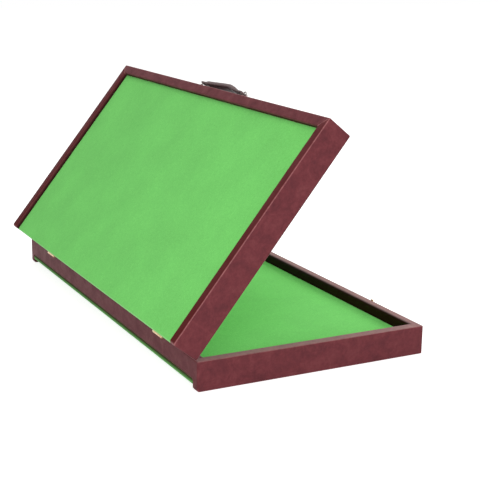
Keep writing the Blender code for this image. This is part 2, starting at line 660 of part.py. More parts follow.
def grip_section(y):
    """Reach, half width and half thickness of the grip at a place along it."""
    tab_start = STRAP_BAR_Y + TAB_END - TAB_LENGTH
    foot = -tab_start if y < GRIP_CREST_Y else tab_start
    rise = min(max((y - foot) / (GRIP_CREST_Y - foot), 0.0), 1.0)
    swell = min(max((tab_start - abs(y)) / GRIP_SWELL, 0.0), 1.0)
    rise = (rise + rise * rise * (3 - 2 * rise)) / 2
    swell = swell * swell * (3 - 2 * swell)
    reach = TAB_REACH + (GRIP_REACH - TAB_REACH) * rise
    width = TAB_WIDTH + (GRIP_WIDTH - TAB_WIDTH) * swell
    thickness = TAB_THICKNESS + (GRIP_THICKNESS - TAB_THICKNESS) * swell
    return reach, width / 2, thickness / 2


def handle_grip(frame, material):
    """The bowed grip, with a flat tab at each end that a ring goes through."""
    half = STRAP_BAR_Y + TAB_END
    rings = []
    for station in range(GRIP_STATIONS + 1):
        y = -half + 2 * half * station / GRIP_STATIONS
        reach, wide, thick = grip_section(y)
        corner = GRIP_CORNER_SHARE * thick
        outline = rounded_outline((-thick, -wide), (thick, wide), (corner,) * 4, GRIP_SIDES // 4 - 1)
        rings.append([(reach + out, y, across) for out, across in outline])
    grip = place("handle_grip", loft_mesh("handle_grip", rings), frame, (0, 0, 0), material)
    for end, sign in (("near", -1), ("far", 1)):
        hole = prism(f"{end}_grip_hole", circle(RING_WIRE_RADIUS + RING_PLAY), "X", 2 * GRIP_REACH, frame,
                     (TAB_REACH, sign * STRAP_BAR_Y, 0))
        cut(grip, hole)


def handle(lid, metal, leather):
    """The handle, which swings on its two eyes."""
    for end in ("near", "far"):
        handle_eye(end, lid, metal)
    axis = empty("handle_axis", lid.frame, (HANDLE_AXIS_X, 0, HANDLE_AXIS_HEIGHT))
    handle_grip(axis, leather)
    for end, sign in (("near", -1), ("far", 1)):
        handle_ring(end, sign, axis, metal)


def middle_of_footprint():
    """X of the middle of the whole table at rest, from the hinge wall's outer face."""
    turn = RIM_END_RADIUS - HINGE_AXIS_X
    level = RIM_TOP - RIM_END_RADIUS
    low = HINGE_AXIS_X + turn * math.cos(OPEN_ANGLE) - level * math.sin(OPEN_ANGLE) - RIM_END_RADIUS
    high = FRONT_PLATE_X + LATCH_PLATE + STUD_REACH
    return (low + high) / 2


def main():
    """Build the whole table."""
    clear_scene()
    finishes = {
        "leatherette": finish("burgundy_leatherette", *LEATHERETTE),
        "felt": finish("green_felt", *FELT_GREEN),
        "board": finish("fibreboard", *FIBREBOARD),
    }
    brass = finish("plated_brass", *BRASS)
    nickel = finish("nickel_plate", *NICKEL)
    leather = finish("handle_leather", *HANDLE_LEATHER)

    table = empty("table", location=(-middle_of_footprint(), 0, RIM_TOP))
    lower = Half("lower", empty("lower_half", table, rotation=(math.pi, 0, 0)), -1, finishes)
    fold_axis = empty("fold_axis", table, (HINGE_AXIS_X, 0, 0), (0, -OPEN_ANGLE, 0))
    lid = Half("lid", empty("lid_half", fold_axis, (-HINGE_AXIS_X, 0, 0)), 1, finishes)
    lower.build()
    lid.build()

    screws = Screws(brass)
    for end in ("near", "far"):
        hinge(end, lower, lid, screws, brass)
        latch_base(end, lid, screws, brass)
        latch_flap(end, lid, brass)
        keeper(end, lower, brass)
    handle(lid, nickel, leather)


main()
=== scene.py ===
"""Folding mahjong table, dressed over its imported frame.

The leatherette wraps, felts, strap, stitches, screws and fittings are made here as fine meshes, each in
the place of its plain solid, and every piece has a procedural finish. Sizes in the classes are
millimetres. Meshes are metres in the frame's own axes: +X from the hinge to the handle, +Y along the
hinge, +Z up.
"""

import json
import logging
import math
from dataclasses import dataclass
from enum import Enum
from typing import Any, Callable, ClassVar, Iterable, Mapping, Sequence

import bmesh
import bpy
from bmesh.types import BMesh, BMVert
from bpy.types import Material, Node, NodeSocket, NodeTree, Object
from mathutils import Matrix, Vector, noise

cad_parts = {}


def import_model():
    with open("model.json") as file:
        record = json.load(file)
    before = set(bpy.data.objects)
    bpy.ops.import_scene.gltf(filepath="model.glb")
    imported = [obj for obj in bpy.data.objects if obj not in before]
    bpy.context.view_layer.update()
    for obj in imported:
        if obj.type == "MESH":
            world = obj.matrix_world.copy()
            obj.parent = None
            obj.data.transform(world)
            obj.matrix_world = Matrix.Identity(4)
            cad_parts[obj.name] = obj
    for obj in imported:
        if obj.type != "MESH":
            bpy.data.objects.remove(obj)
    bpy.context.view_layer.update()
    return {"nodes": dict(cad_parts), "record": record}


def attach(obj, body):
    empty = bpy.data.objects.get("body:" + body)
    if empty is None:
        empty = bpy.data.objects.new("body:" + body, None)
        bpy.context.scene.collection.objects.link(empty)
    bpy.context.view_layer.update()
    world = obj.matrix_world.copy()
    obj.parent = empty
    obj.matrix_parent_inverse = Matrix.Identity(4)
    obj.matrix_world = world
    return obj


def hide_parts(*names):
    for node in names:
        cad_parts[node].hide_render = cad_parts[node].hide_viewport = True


LOG = logging.getLogger("mahjong_table")
MM = 0.001
# How near counts as touching, in millimetres or as a turn.
TOUCH = 0.001

Pair = tuple[float, float]
Point = tuple[float, float, float]
Stops = Sequence[tuple[float, str]]
Inputs = Mapping[str | int, Any]


class Half(Enum):
    """A half of the case, by the first word of its nodes' names."""

    LOWER = "lower"
    LID = "lid"

    @property
    def body(self) -> str:
        """The body that the half's pieces ride on."""
        return "lower_half" if self is Half.LOWER else "lid"


class End(Enum):
    """An end of the case along the hinge, by its direction on Y."""

    NEAR = -1
    FAR = 1

    @property
    def label(self) -> str:
        """The end's word in node names."""
        return self.name.lower()


class Slot(Enum):
    """The record's material slot names, passed along with the dressed pieces."""

    LEATHERETTE = "burgundy_leatherette"
    FELT = "green_felt"
    BRASS = "plated_brass"
    NICKEL = "nickel_plate"
    STRAP = "handle_leather"


@dataclass(frozen=True)
class Case:
    """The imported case's sizes, and the places of its two halves.

    A half's own coordinates are x from the hinge wall's outer face to the front, y along the hinge, and
    level, which is measured outwards from the seam between the closed halves.
    """

    length: float = 500.0
    width: float = 250.0
    rim_top: float = 30.0
    open_angle: float = 51.5
    lip: float = 0.2
    clearance: float = 0.3
    hinge_wall_gap: float = 0.05
    wall: float = 11.0
    wrap: float = 0.7
    felt: float = 0.8
    storage_level: float = 10.4
    play_level: float = 25.0
    play_board_low: float = 20.3
    hinge_wall_foot: float = 20.0
    hinge_y: float = 163.0
    fold_axis_x: float = -1.2
    middle_x: float = 115.492

    @property
    def half_length(self) -> float:
        """Half the case's length along the hinge."""
        return self.length / 2

    @property
    def inside(self) -> float:
        """Clearance and wall together, which is how far the boards stand in from the outside."""
        return self.wall + self.clearance

    def place(self, half: Half, x: float, y: float, level: float) -> Vector:
        """Turn a point of a half into the frame's axes.

        Args:
            half: The half whose coordinates are given.
            x: Millimetres from the hinge wall's outer face.
            y: Millimetres along the hinge.
            level: Millimetres outwards from the seam.

        Returns:
            The point in metres.
        """
        if half is Half.LOWER:
            return Vector((x - self.middle_x, y, self.rim_top - level)) * MM
        turn = math.radians(self.open_angle)
        arm = x - self.fold_axis_x
        across = self.fold_axis_x + arm * math.cos(turn) - level * math.sin(turn) - self.middle_x
        return Vector((across, y, self.rim_top + arm * math.sin(turn) + level * math.cos(turn))) * MM


def unit(value: float) -> float:
    """Hold a value between 0 and 1."""
    return min(max(value, 0.0), 1.0)


def eased(share: float) -> float:
    """Make a share from 0 to 1 start and end gently."""
    return share * share * (3 - 2 * share)


def between(ends: Pair, share: float) -> float:
    """Find the value at a share of the way between two ends."""
    return ends[0] + (ends[1] - ends[0]) * share


def linear(code: str) -> tuple[float, float, float, float]:
    """Turn an sRGB colour into a linear one.

    Args:
        code: The colour's hex value.

    Returns:
        Red, green and blue, with full alpha.
    """
    channels = [int(code[i:i + 2], 16) / 255 for i in (0, 2, 4)]
    red, green, blue = (c / 12.92 if c <= 0.04045 else ((c + 0.055) / 1.055) ** 2.4 for c in channels)
    return red, green, blue, 1.0


def connect(tree: NodeTree, node: Node, inputs: Inputs) -> None:
    """Set a node's inputs.

    Args:
        tree: The node's tree.
        node: The node.
        inputs: A value, another node's output or a list of outputs, for each input named or numbered.
    """
    for name, value in inputs.items():
        if isinstance(value, (NodeSocket, list)):
            for source in value if isinstance(value, list) else [value]:
                tree.links.new(source, node.inputs[name])
        else:
            node.inputs[name].default_value = value


def add_node(tree: NodeTree, kind: str, inputs: Inputs | None = None, stops: Stops = (),
             **settings: Any) -> Node:
    """Add a node to a tree.

    Args:
        tree: The tree that takes the node.
        kind: The node's type name.
        inputs: What its inputs are set to, as connect takes it.
        stops: Places and hex colours, where the node is a colour ramp.
        settings: Other properties of the node.

    Returns:
        The new node.
    """
    made = tree.nodes.new(kind)
    for name, value in settings.items():
        setattr(made, name, value)
    connect(tree, made, inputs or {})
    if stops:
        elements = made.color_ramp.elements
        while len(elements) < len(stops):
            elements.new(1.0)
        for element, (place, code) in zip(elements, stops):
            element.position = place
            element.color = linear(code)
    return made


def mark_colour(tree: NodeTree, mark: str, colour: NodeSocket, tint: Any,
                showing: NodeSocket | None = None) -> NodeSocket:
    """Blend a tint into a colour where the mesh carries a mark.

    Args:
        tree: The material's tree.
        mark: The name of the mesh's attribute.
        colour: The colour where there is no mark.
        tint: The colour where the mark is full.
        showing: How much of the mark shows, where that varies.

    Returns:
        The blended colour.
    """
    share = add_node(tree, "ShaderNodeAttribute", attribute_name=mark).outputs["Fac"]
    if showing is not None:
        share = add_node(tree, "ShaderNodeMath", {0: share, 1: showing}, operation="MULTIPLY").outputs[0]
    return add_node(tree, "ShaderNodeMix", {0: share, 6: colour, 7: tint}, data_type="RGBA").outputs[2]


@dataclass(frozen=True)
class Finish:
    """A surface finish: a material with a Principled shader that a subclass feeds.

    A pattern's scale is how often it repeats in a metre. A span is the part of a pattern's values that is
    spread over a range of light, wear or roughness. A relief is the strength of a bump and its depth in
    millimetres.
    """

    name: str

    def make(self) -> Material:
        """Build the material.

        Returns:
            The material, with its nodes.
        """
        material = bpy.data.materials.new(self.name)
        material.use_nodes = True
        tree = material.node_tree
        place = add_node(tree, "ShaderNodeTexCoord").outputs["Object"]
        connect(tree, tree.nodes["Principled BSDF"], self.feed(tree, place))
        return material

    def feed(self, tree: NodeTree, place: NodeSocket) -> Inputs:
        """Add the finish's nodes.

        Args:
            tree: The material's tree.
            place: The place on the object.

        Returns:
            What each of the shader's inputs takes, where it isn't left as it is.
        """
        raise NotImplementedError


@dataclass(frozen=True)
class Leatherette(Finish):
    """Embossed vinyl on cloth: cloudy burgundy with a pebble grain, paler along its rim-side edges,
    partly from wear and partly as a painted highlight.

    The end rims' tops are painted a deeper red as painted shade, and the lips' tops paler as a painted
    reflection that fades towards the hinge as painted shade. The sides that face inwards have a near-black
    brown lining, and the same colour is painted low in the play-side recesses as painted shade.
    """

    # Clouds are about 17 mm across and veins about 4 mm.
    cloud_scale: float = 60.0
    vein_scale: float = 260.0
    # The real pebble is about 0.4 mm across. It is drawn at 0.9 mm, so that it doesn't flicker.
    pebble_scale: float = 1100.0
    span: Pair = (0.3, 0.7)
    vein_light: Pair = (0.86, 1.12)
    rub_patchiness: Pair = (0.35, 0.9)
    roughness: Pair = (0.54, 0.42)
    relief: Pair = (0.22, 0.2)
    specular: float = 0.06
    clouds: Stops = ((0.30, "5A2C31"), (0.52, "673136"), (0.72, "6F383C"))
    # Pale tint on the rim-side rounded edges: partly wear, partly painted highlight.
    rubbed_highlight: str = "A97070"
    # Pale tint for the lips' tops: a painted reflection.
    lip_reflection: str = "A88482"
    # Deeper red painted on the end rims' tops as painted shade.
    rim_top_shade: str = "4E0A0B"
    # Dark lining on the inward sides, also used as painted shade in the play-side recesses.
    lining: str = "1E0502"

    def feed(self, tree: NodeTree, place: NodeSocket) -> Inputs:
        """Add clouds, painted rim shade, edge wear and highlight, painted lip reflection, lining and recess
        shade, and grain.

        Args:
            tree: The material's tree.
            place: The place on the object.

        Returns:
            What each of the shader's inputs takes.
        """
        cloud = add_node(tree, "ShaderNodeTexNoise", {
            "Vector": place, "Scale": self.cloud_scale, "Detail": 4.0, "Roughness": 0.62,
            "Distortion": 0.9}).outputs["Fac"]
        vein = add_node(tree, "ShaderNodeTexNoise", {
            "Vector": place, "Scale": self.vein_scale, "Detail": 3.0, "Roughness": 0.7}).outputs["Fac"]
        light, showing, rough = (
            add_node(tree, "ShaderNodeMapRange", dict(enumerate((pattern, *self.span, *ends)))).outputs[0]
            for pattern, ends in ((vein, self.vein_light), (vein, self.rub_patchiness), (cloud, self.roughness)))
        base = add_node(tree, "ShaderNodeValToRGB", {"Fac": cloud}, self.clouds).outputs["Color"]
        colour, lip_reflection = (
            add_node(tree, "ShaderNodeVectorMath", {0: plain, "Scale": light}, operation="SCALE").outputs[0]
            for plain in (base, linear(self.lip_reflection)[:3]))
        # End rims' tops: a deeper red as painted shade.
        colour = mark_colour(tree, "rim_shade", colour, linear(self.rim_top_shade))
        # Rim-side edges: paler partly from wear, partly as painted highlight; the mitre cuts get wear.
        colour = mark_colour(tree, "edge", colour, linear(self.rubbed_highlight), showing)
        # Lip tops: paler as a painted reflection, less of it near the hinge as painted shade.
        colour = mark_colour(tree, "lip", colour, lip_reflection)
        # Inward sides: a real dark lining; in the play-side recesses the same colour is painted shade.
        colour = mark_colour(tree, "lining", colour, linear(self.lining))
        pebble = add_node(tree, "ShaderNodeTexVoronoi", {
            "Vector": place, "Scale": self.pebble_scale, "Randomness": 0.9}).outputs["Distance"]
        strength, depth = self.relief
        bump = add_node(tree, "ShaderNodeBump", {
            "Height": pebble, "Strength": strength, "Distance": depth * MM}, invert=True).outputs["Normal"]
        return {"Base Color": colour, "Roughness": rough, "Normal": bump, "Specular IOR Level": self.specular}


@dataclass(frozen=True)
class Felt(Finish):
    """Short pressed felt: matted fibres in mixed greens.

    It is paler along the fold over the board's edge, partly from stretching and partly as a painted
    highlight, and painted darker where it tucks in under the wall, as painted shadow.
    """

    # Soft patches are about 45 mm across.
    patch_scale: float = 22.0
    # Real fibres are about 0.03 mm thick. They are drawn as 0.7 mm tufts in 2.4 mm mats, so that they show.
    tuft_scale: float = 1400.0
    fibre_scale: float = 420.0
    patch_span: Pair = (0.3, 0.7)
    patch_light: Pair = (0.95, 1.04)
    fibre_span: Pair = (0.2, 0.8)
    roughness: Pair = (0.88, 1.0)
    relief: Pair = (0.35, 0.4)
    specular: float = 0.08
    sheen: float = 0.08
    sheen_roughness: float = 0.55
    tufts: Stops = ((0.25, "5FBC55"), (0.5, "73D066"), (0.78, "8FE37E"))
    # Fold tint: partly the felt's stretch over the edge, partly a painted highlight.
    pulled_highlight: str = "A4D99B"
    # Painted shadow where the felt tucks in under the hinge wall.
    tuck_shadow: str = "39421C"

    def feed(self, tree: NodeTree, place: NodeSocket) -> Inputs:
        """Add the tufts, soft patches, the fold's stretch and painted highlight, painted tuck shadow and nap.

        Args:
            tree: The material's tree.
            place: The place on the object.

        Returns:
            What each of the shader's inputs takes.
        """
        tuft = add_node(tree, "ShaderNodeTexNoise", {
            "Vector": place, "Scale": self.tuft_scale, "Detail": 2.0, "Roughness": 0.7}).outputs["Fac"]
        fibre = add_node(tree, "ShaderNodeTexNoise", {
            "Vector": place, "Scale": self.fibre_scale, "Detail": 3.0, "Roughness": 0.65,
            "Distortion": 2.0}).outputs["Fac"]
        both = add_node(tree, "ShaderNodeMath", {0: tuft, 1: fibre}, operation="ADD").outputs[0]
        pile = add_node(tree, "ShaderNodeMath", {0: both, 1: 0.5}, operation="MULTIPLY").outputs[0]
        colour = add_node(tree, "ShaderNodeValToRGB", {"Fac": pile}, self.tufts).outputs["Color"]
        patch = add_node(tree, "ShaderNodeTexNoise", {
            "Vector": place, "Scale": self.patch_scale, "Detail": 2.0}).outputs["Fac"]
        light, rough = (
            add_node(tree, "ShaderNodeMapRange", dict(enumerate((pattern, *span, *ends)))).outputs[0]
            for pattern, span, ends in ((patch, self.patch_span, self.patch_light),
                                        (fibre, self.fibre_span, self.roughness)))
        colour = add_node(tree, "ShaderNodeVectorMath", {0: colour, "Scale": light},
                          operation="SCALE").outputs[0]
        # The fold: paler partly from stretching, partly as a painted highlight.
        colour = mark_colour(tree, "edge", colour, linear(self.pulled_highlight))
        # Tucked hem: painted shadow under the hinge wall's overhang.
        colour = mark_colour(tree, "tuck_shade", colour, linear(self.tuck_shadow))
        strength, depth = self.relief
        bump = add_node(tree, "ShaderNodeBump", {
            "Height": pile, "Strength": strength, "Distance": depth * MM}).outputs["Normal"]
        return {"Base Color": colour, "Roughness": rough, "Normal": bump, "Specular IOR Level": self.specular,
                "Sheen Weight": self.sheen, "Sheen Roughness": self.sheen_roughness}


@dataclass(frozen=True)
class PlatedMetal(Finish):
    """Pressed steel with bright brass or nickel plating: cloudy tone, fine wipe marks and uneven shine."""

    # The tone changes over about 4 mm. Wipe marks are about 1 mm wide and 9 mm long.
    tone_scale: float = 240.0
    wipe_scale: float = 900.0
    wipe_draw: Point = (1.0, 0.12, 1.0)
    span: Pair = (0.25, 0.75)
    roughness: Pair = (0.22, 0.42)
    relief: Pair = (0.12, 0.05)
    tones: Stops = ((0.3, "CFAA7C"), (0.55, "E2C298"), (0.8, "EFD8B8"))

    def feed(self, tree: NodeTree, place: NodeSocket) -> Inputs:
        """Add the cloudy tone, and roughness and bump from wipe marks drawn out along the hinge.

        Args:
            tree: The material's tree.
            place: The place on the object.

        Returns:
            What each of the shader's inputs takes.
        """
        tone = add_node(tree, "ShaderNodeTexNoise", {
            "Vector": place, "Scale": self.tone_scale, "Detail": 3.0}).outputs["Fac"]
        colour = add_node(tree, "ShaderNodeValToRGB", {"Fac": tone}, self.tones).outputs["Color"]
        drawn = add_node(tree, "ShaderNodeMapping", {"Vector": place, "Scale": self.wipe_draw}).outputs[0]
        wipe = add_node(tree, "ShaderNodeTexNoise", {
            "Vector": drawn, "Scale": self.wipe_scale, "Detail": 2.0}).outputs["Fac"]
        rough = add_node(tree, "ShaderNodeMapRange",
                         dict(enumerate((wipe, *self.span, *self.roughness)))).outputs[0]
        strength, depth = self.relief
        bump = add_node(tree, "ShaderNodeBump", {
            "Height": wipe, "Strength": strength, "Distance": depth * MM}).outputs["Normal"]
        return {"Base Color": colour, "Roughness": rough, "Normal": bump, "Metallic": 1.0}


@dataclass(frozen=True)
class StrapLeather(Finish):
    """Dark finished leather: fine creased grain on the faces, greyer painted edges at the sides."""

    # Grain is about 0.8 mm across and the mottling about 6 mm.
    grain_scale: float = 1300.0
    mottle_scale: float = 160.0
    span: Pair = (0.3, 0.7)
    roughness: Pair = (0.5, 0.38)
    relief: Pair = (0.2, 0.15)
    specular: float = 0.25
    mottles: Stops = ((0.3, "30181B"), (0.55, "3E2325"), (0.8, "4C3031"))
    painted: str = "6A5858"

    def feed(self, tree: NodeTree, place: NodeSocket) -> Inputs:
        """Add the mottled face, the painted edge and the grain.

        Args:
            tree: The material's tree.
            place: The place on the object.

        Returns:
            What each of the shader's inputs takes.
        """
        mottle = add_node(tree, "ShaderNodeTexNoise", {
            "Vector": place, "Scale": self.mottle_scale, "Detail": 4.0, "Roughness": 0.65}).outputs["Fac"]
        colour = add_node(tree, "ShaderNodeValToRGB", {"Fac": mottle}, self.mottles).outputs["Color"]
        colour = mark_colour(tree, "edge", colour, linear(self.painted))
        grain = add_node(tree, "ShaderNodeTexVoronoi", {"Vector": place, "Scale": self.grain_scale},
                         feature="SMOOTH_F1").outputs["Distance"]
        strength, depth = self.relief
        bump = add_node(tree, "ShaderNodeBump", {
            "Height": grain, "Strength": strength, "Distance": depth * MM}, invert=True).outputs["Normal"]
        rough = add_node(tree, "ShaderNodeMapRange",
                         dict(enumerate((mottle, *self.span, *self.roughness)))).outputs[0]
        return {"Base Color": colour, "Roughness": rough, "Normal": bump, "Specular IOR Level": self.specular}


@dataclass(frozen=True)
class WaxedThread(Finish):
    """Waxed polyester thread: dark brown strands that twist across each stitch, with a dull shine."""

    # Strands lie about 0.5 mm apart across the slant.
    twist_scale: float = 700.0
    roughness: float = 0.48
    relief: Pair = (0.3, 0.1)
    strands: Stops = ((0.2, "241416"), (0.8, "5A4140"))

    def feed(self, tree: NodeTree, place: NodeSocket) -> Inputs:
        """Add the strands' colour and bump from one slanted wave.

        Args:
            tree: The material's tree.
            place: The place on the object.

        Returns:
            What each of the shader's inputs takes.
        """
        twist = add_node(tree, "ShaderNodeTexWave", {
            "Vector": place, "Scale": self.twist_scale, "Distortion": 1.5},
            bands_direction="DIAGONAL").outputs["Fac"]
        colour = add_node(tree, "ShaderNodeValToRGB", {"Fac": twist}, self.strands).outputs["Color"]
        strength, depth = self.relief
        bump = add_node(tree, "ShaderNodeBump", {
            "Height": twist, "Strength": strength, "Distance": depth * MM}).outputs["Normal"]
        return {"Base Color": colour, "Normal": bump, "Roughness": self.roughness}


@dataclass(frozen=True)
class Fibreboard(Finish):
    """Raw hardboard and wall core: pressed brown fibres with pale and dark specks."""

    # Specks are about 1.6 mm across and bundles of fibres about 5 mm.
    speck_scale: float = 620.0
    fibre_scale: float = 190.0
    speck_share: float = 0.4
    span: Pair = (0.2, 0.8)
    roughness: Pair = (0.8, 0.95)
    relief: Pair = (0.3, 0.2)
    fibres: Stops = ((0.25, "8A6440"), (0.55, "A9825A"), (0.85, "C29C70"))

    def feed(self, tree: NodeTree, place: NodeSocket) -> Inputs:
        """Add the fibres' colour, and a rough bump from the specks.

        Args:
            tree: The material's tree.
            place: The place on the object.

        Returns:
            What each of the shader's inputs takes.
        """
        fibre = add_node(tree, "ShaderNodeTexNoise", {
            "Vector": place, "Scale": self.fibre_scale, "Detail": 5.0, "Roughness": 0.75,
            "Distortion": 1.2}).outputs["Fac"]
        speck = add_node(tree, "ShaderNodeTexNoise", {
            "Vector": place, "Scale": self.speck_scale, "Detail": 1.0}).outputs["Fac"]
        mixed = add_node(tree, "ShaderNodeMix", {0: self.speck_share, 2: fibre, 3: speck}).outputs[0]
        colour = add_node(tree, "ShaderNodeValToRGB", {"Fac": mixed}, self.fibres).outputs["Color"]
        strength, depth = self.relief
        bump = add_node(tree, "ShaderNodeBump", {
            "Height": speck, "Strength": strength, "Distance": depth * MM}).outputs["Normal"]
        rough = add_node(tree, "ShaderNodeMapRange",
                         dict(enumerate((fibre, *self.span, *self.roughness)))).outputs[0]
        return {"Base Color": colour, "Roughness": rough, "Normal": bump}


def grid_lines(low: float, high: float, edge: float, steps: int, pitch: float,
               extra: Iterable[float] = ()) -> list[float]:
    """Space grid lines along one side of a rounded shape.

    Args:
        low: Where the side starts.
        high: Where it ends.
        edge: How far the rounding reaches in from each end.
        steps: Lines over each rounding.
        pitch: The widest space between the other lines.
        extra: Places that must have a line.

    Returns:
        The lines' places, from low to high.
    """
    inset = [edge * (1 - math.tan(math.pi / 4 * step / steps)) for step in range(steps, 0, -1)]
    stops = sorted({low + edge, high - edge, *(e for e in extra if low + edge < e < high - edge)})
    lines = [low + distance for distance in inset]
    for start, stop in zip(stops, stops[1:]):
        count = max(1, math.ceil((stop - start) / pitch))
        lines += [start + (stop - start) * i / count for i in range(count)]
    return lines + [high - edge] + [high - distance for distance in reversed(inset)]


def box_grid(lines: Sequence[Sequence[float]]) -> BMesh:
    """Build a box's surface in quads.

    Args:
        lines: The places of the grid lines on each of the three axes.

    Returns:
        The surface.
    """
    mesh = bmesh.new()
    corners: dict[tuple[int, ...], BMVert] = {}
    last = [len(line) - 1 for line in lines]
    for axis in range(3):
        first, second = (axis + 1) % 3, (axis + 2) % 3
        for side in (0, last[axis]):
            for i in range(last[first]):
                for j in range(last[second]):
                    face = []
                    for di, dj in ((0, 0), (1, 0), (1, 1), (0, 1)):
                        index = [side] * 3
                        index[first] = i + di
                        index[second] = j + dj
                        key = tuple(index)
                        if key not in corners:
                            corners[key] = mesh.verts.new([line[n] for line, n in zip(lines, key)])
                        face.append(corners[key])
                    mesh.faces.new(face if side else face[::-1])
    return mesh


def swept_grid(rows: Sequence[Sequence[Point]], closed: bool = False) -> BMesh:
    """Build quads between rows of points.

    Args:
        rows: The rows, which all have as many points.
        closed: Whether each row's last point meets its first.

    Returns:
        The surface, with normals along the rows' direction crossed with the points' direction.
    """
    mesh = bmesh.new()
    made = [[mesh.verts.new(point) for point in row] for row in rows]
    for here, there in zip(made, made[1:]):
        count = len(here)
        for i in range(count if closed else count - 1):
            j = (i + 1) % count
            mesh.faces.new((here[i], there[i], there[j], here[j]))
    return mesh


def mark_verts(mesh: BMesh, name: str, values: Iterable[float]) -> None:
    """Give each vertex of a mesh a number.

    Args:
        mesh: The mesh, changed in place.
        name: The attribute's name.
        values: A number for each vertex, in their order.
    """
    layer = mesh.verts.layers.float.new(name)
    for vert, value in zip(mesh.verts, values):
        vert[layer] = value


def link_object(name: str, data: bpy.types.ID) -> Object:
    """Put new data into the scene as an object of its own.

    Args:
        name: The object's name.
        data: A mesh, a light or a camera.

    Returns:
        The object.
    """
    made = bpy.data.objects.new(name, data)
    bpy.context.scene.collection.objects.link(made)
    return made


def add_object(name: str, mesh: BMesh, material: Material) -> Object:
    """Put a mesh into the scene as a smooth object.

    Args:
        name: The object's name.
        mesh: Its mesh, which is freed.
        material: Its finish.

    Returns:
        The object.
    """
    data = bpy.data.meshes.new(name)
    mesh.to_mesh(data)
    mesh.free()
    data.materials.append(material)
    data.shade_smooth()
    return link_object(name, data)


def bake(carrier: Object, sharp_angle: float = 40.0) -> Object:
    """Swap an object for a plain mesh of what its modifiers give.

    Args:
        carrier: The object with live modifiers, which is removed.
        sharp_angle: Degrees above which an edge stays sharp.

    Returns:
        The plain object, with the same name.
    """
    graph = bpy.context.evaluated_depsgraph_get()
    data = bpy.data.meshes.new_from_object(carrier.evaluated_get(graph))
    name = carrier.name
    bpy.data.objects.remove(carrier)
    data.name = name
    data.shade_smooth()
    data.set_sharp_from_angle(angle=math.radians(sharp_angle))
    return link_object(name, data)


def thicken(sheet: Object, thickness: float) -> Object:
    """Give an open surface a thickness, inwards from its faces.

    Args:
        sheet: The surface, which is removed.
        thickness: Its thickness in millimetres.

    Returns:
        The solid sheet.
    """
    solid = sheet.modifiers.new("thickness", "SOLIDIFY")
    solid.thickness = thickness * MM
    solid.offset = -1.0
    solid.use_even_offset = True
    return bake(sheet)


def claim(piece: Object, body: str, slot: Slot, *nodes: str) -> Object:
    """Set a finished piece on its body.

    Args:
        piece: The piece.
        body: The body it rides on.
        slot: Not used.
        nodes: The nodes it stands for, if any.

    Returns:
        The piece.
    """
    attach(piece, body)
    if nodes:
        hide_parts(*nodes)
    return piece


@dataclass(frozen=True)
class RoundedBox:
    """A box in a half's coordinates with rounded edges; a radius of 0 leaves an axis's ends open."""

    low: Point
    high: Point
    radii: Point
    rim_end: float = 0.0
    butt_level: float = 0.0

    def core(self, point: Vector) -> Vector:
        """Find the nearest place inside the box from which the rounding is struck.

        Below the butt level the inner edge at x = 0 stays square, where another wall butts against it.

        Args:
            point: A point of the square box.

        Returns:
            The place inside.
        """
        core = Vector(min(max(p, low + r), high - r)
                      for p, low, high, r in zip(point, self.low, self.high, self.radii))
        if point.z < self.butt_level and point.x < core.x and point.y > core.y:
            if point.x > self.low[0] + TOUCH:
                core.x = point.x
            else:
                core.y = point.y
        centre = Vector((self.low[0] + self.rim_end, self.high[2] - self.rim_end))
        if self.rim_end and point.x < centre.x and point.z > centre.y:
            arm = Vector((point.x - centre.x, point.z - centre.y))
            reach = self.rim_end - self.radii[0]
            if arm.length > reach:
                arm *= reach / arm.length
            core.x, core.z = centre + arm
        return core

    def press(self, point: Vector) -> tuple[Vector, Vector]:
        """Move a point of the square box onto the rounded one.

        Args:
            point: A point of the square box.

        Returns:
            The new point and the outward direction there.
        """
        core = self.core(point)
        out = (point - core).normalized()
        return core + out * max(self.radii), out


@dataclass
class HalfSheets:
    """Sheets glued to one half of the case, each shaped as its shown face in the half's coordinates.

    A kind of sheet has three last words, for its pieces, for their nodes and for what they rest on.
    """

    case: Case
    half: Half
    material: Material
    words: ClassVar[tuple[str, str, str]]
    slot: ClassVar[Slot]
    trimmed: ClassVar[bool]

    def settle(self, word: str, mesh: BMesh, thickness: float, cut: Pair, held: str, flip: bool = False,
               across: Callable[[float], float] = float) -> Object:
        """Carry a sheet onto the table and give it its thickness.

        Args:
            word: The sheet's own word in names.
            mesh: Its shown face.
            thickness: Its thickness.
            cut: Not used.
            held: Not used.
            flip: Whether its faces look the wrong way before the half is placed.
            across: Turns the shown face's y into the half's.

        Returns:
            The finished sheet.
        """
        for vert in mesh.verts:
            vert.co = self.case.place(self.half, vert.co.x, across(vert.co.y), vert.co.z)
        if flip != (self.half is Half.LOWER):
            bmesh.ops.reverse_faces(mesh, faces=mesh.faces[:])
        name, node, base = (f"{self.half.value}_{word}_{last}" for last in self.words)
        shown = add_object(name, mesh, self.material)
        piece = claim(thicken(shown, thickness), self.half.body, self.slot, node)
        return piece


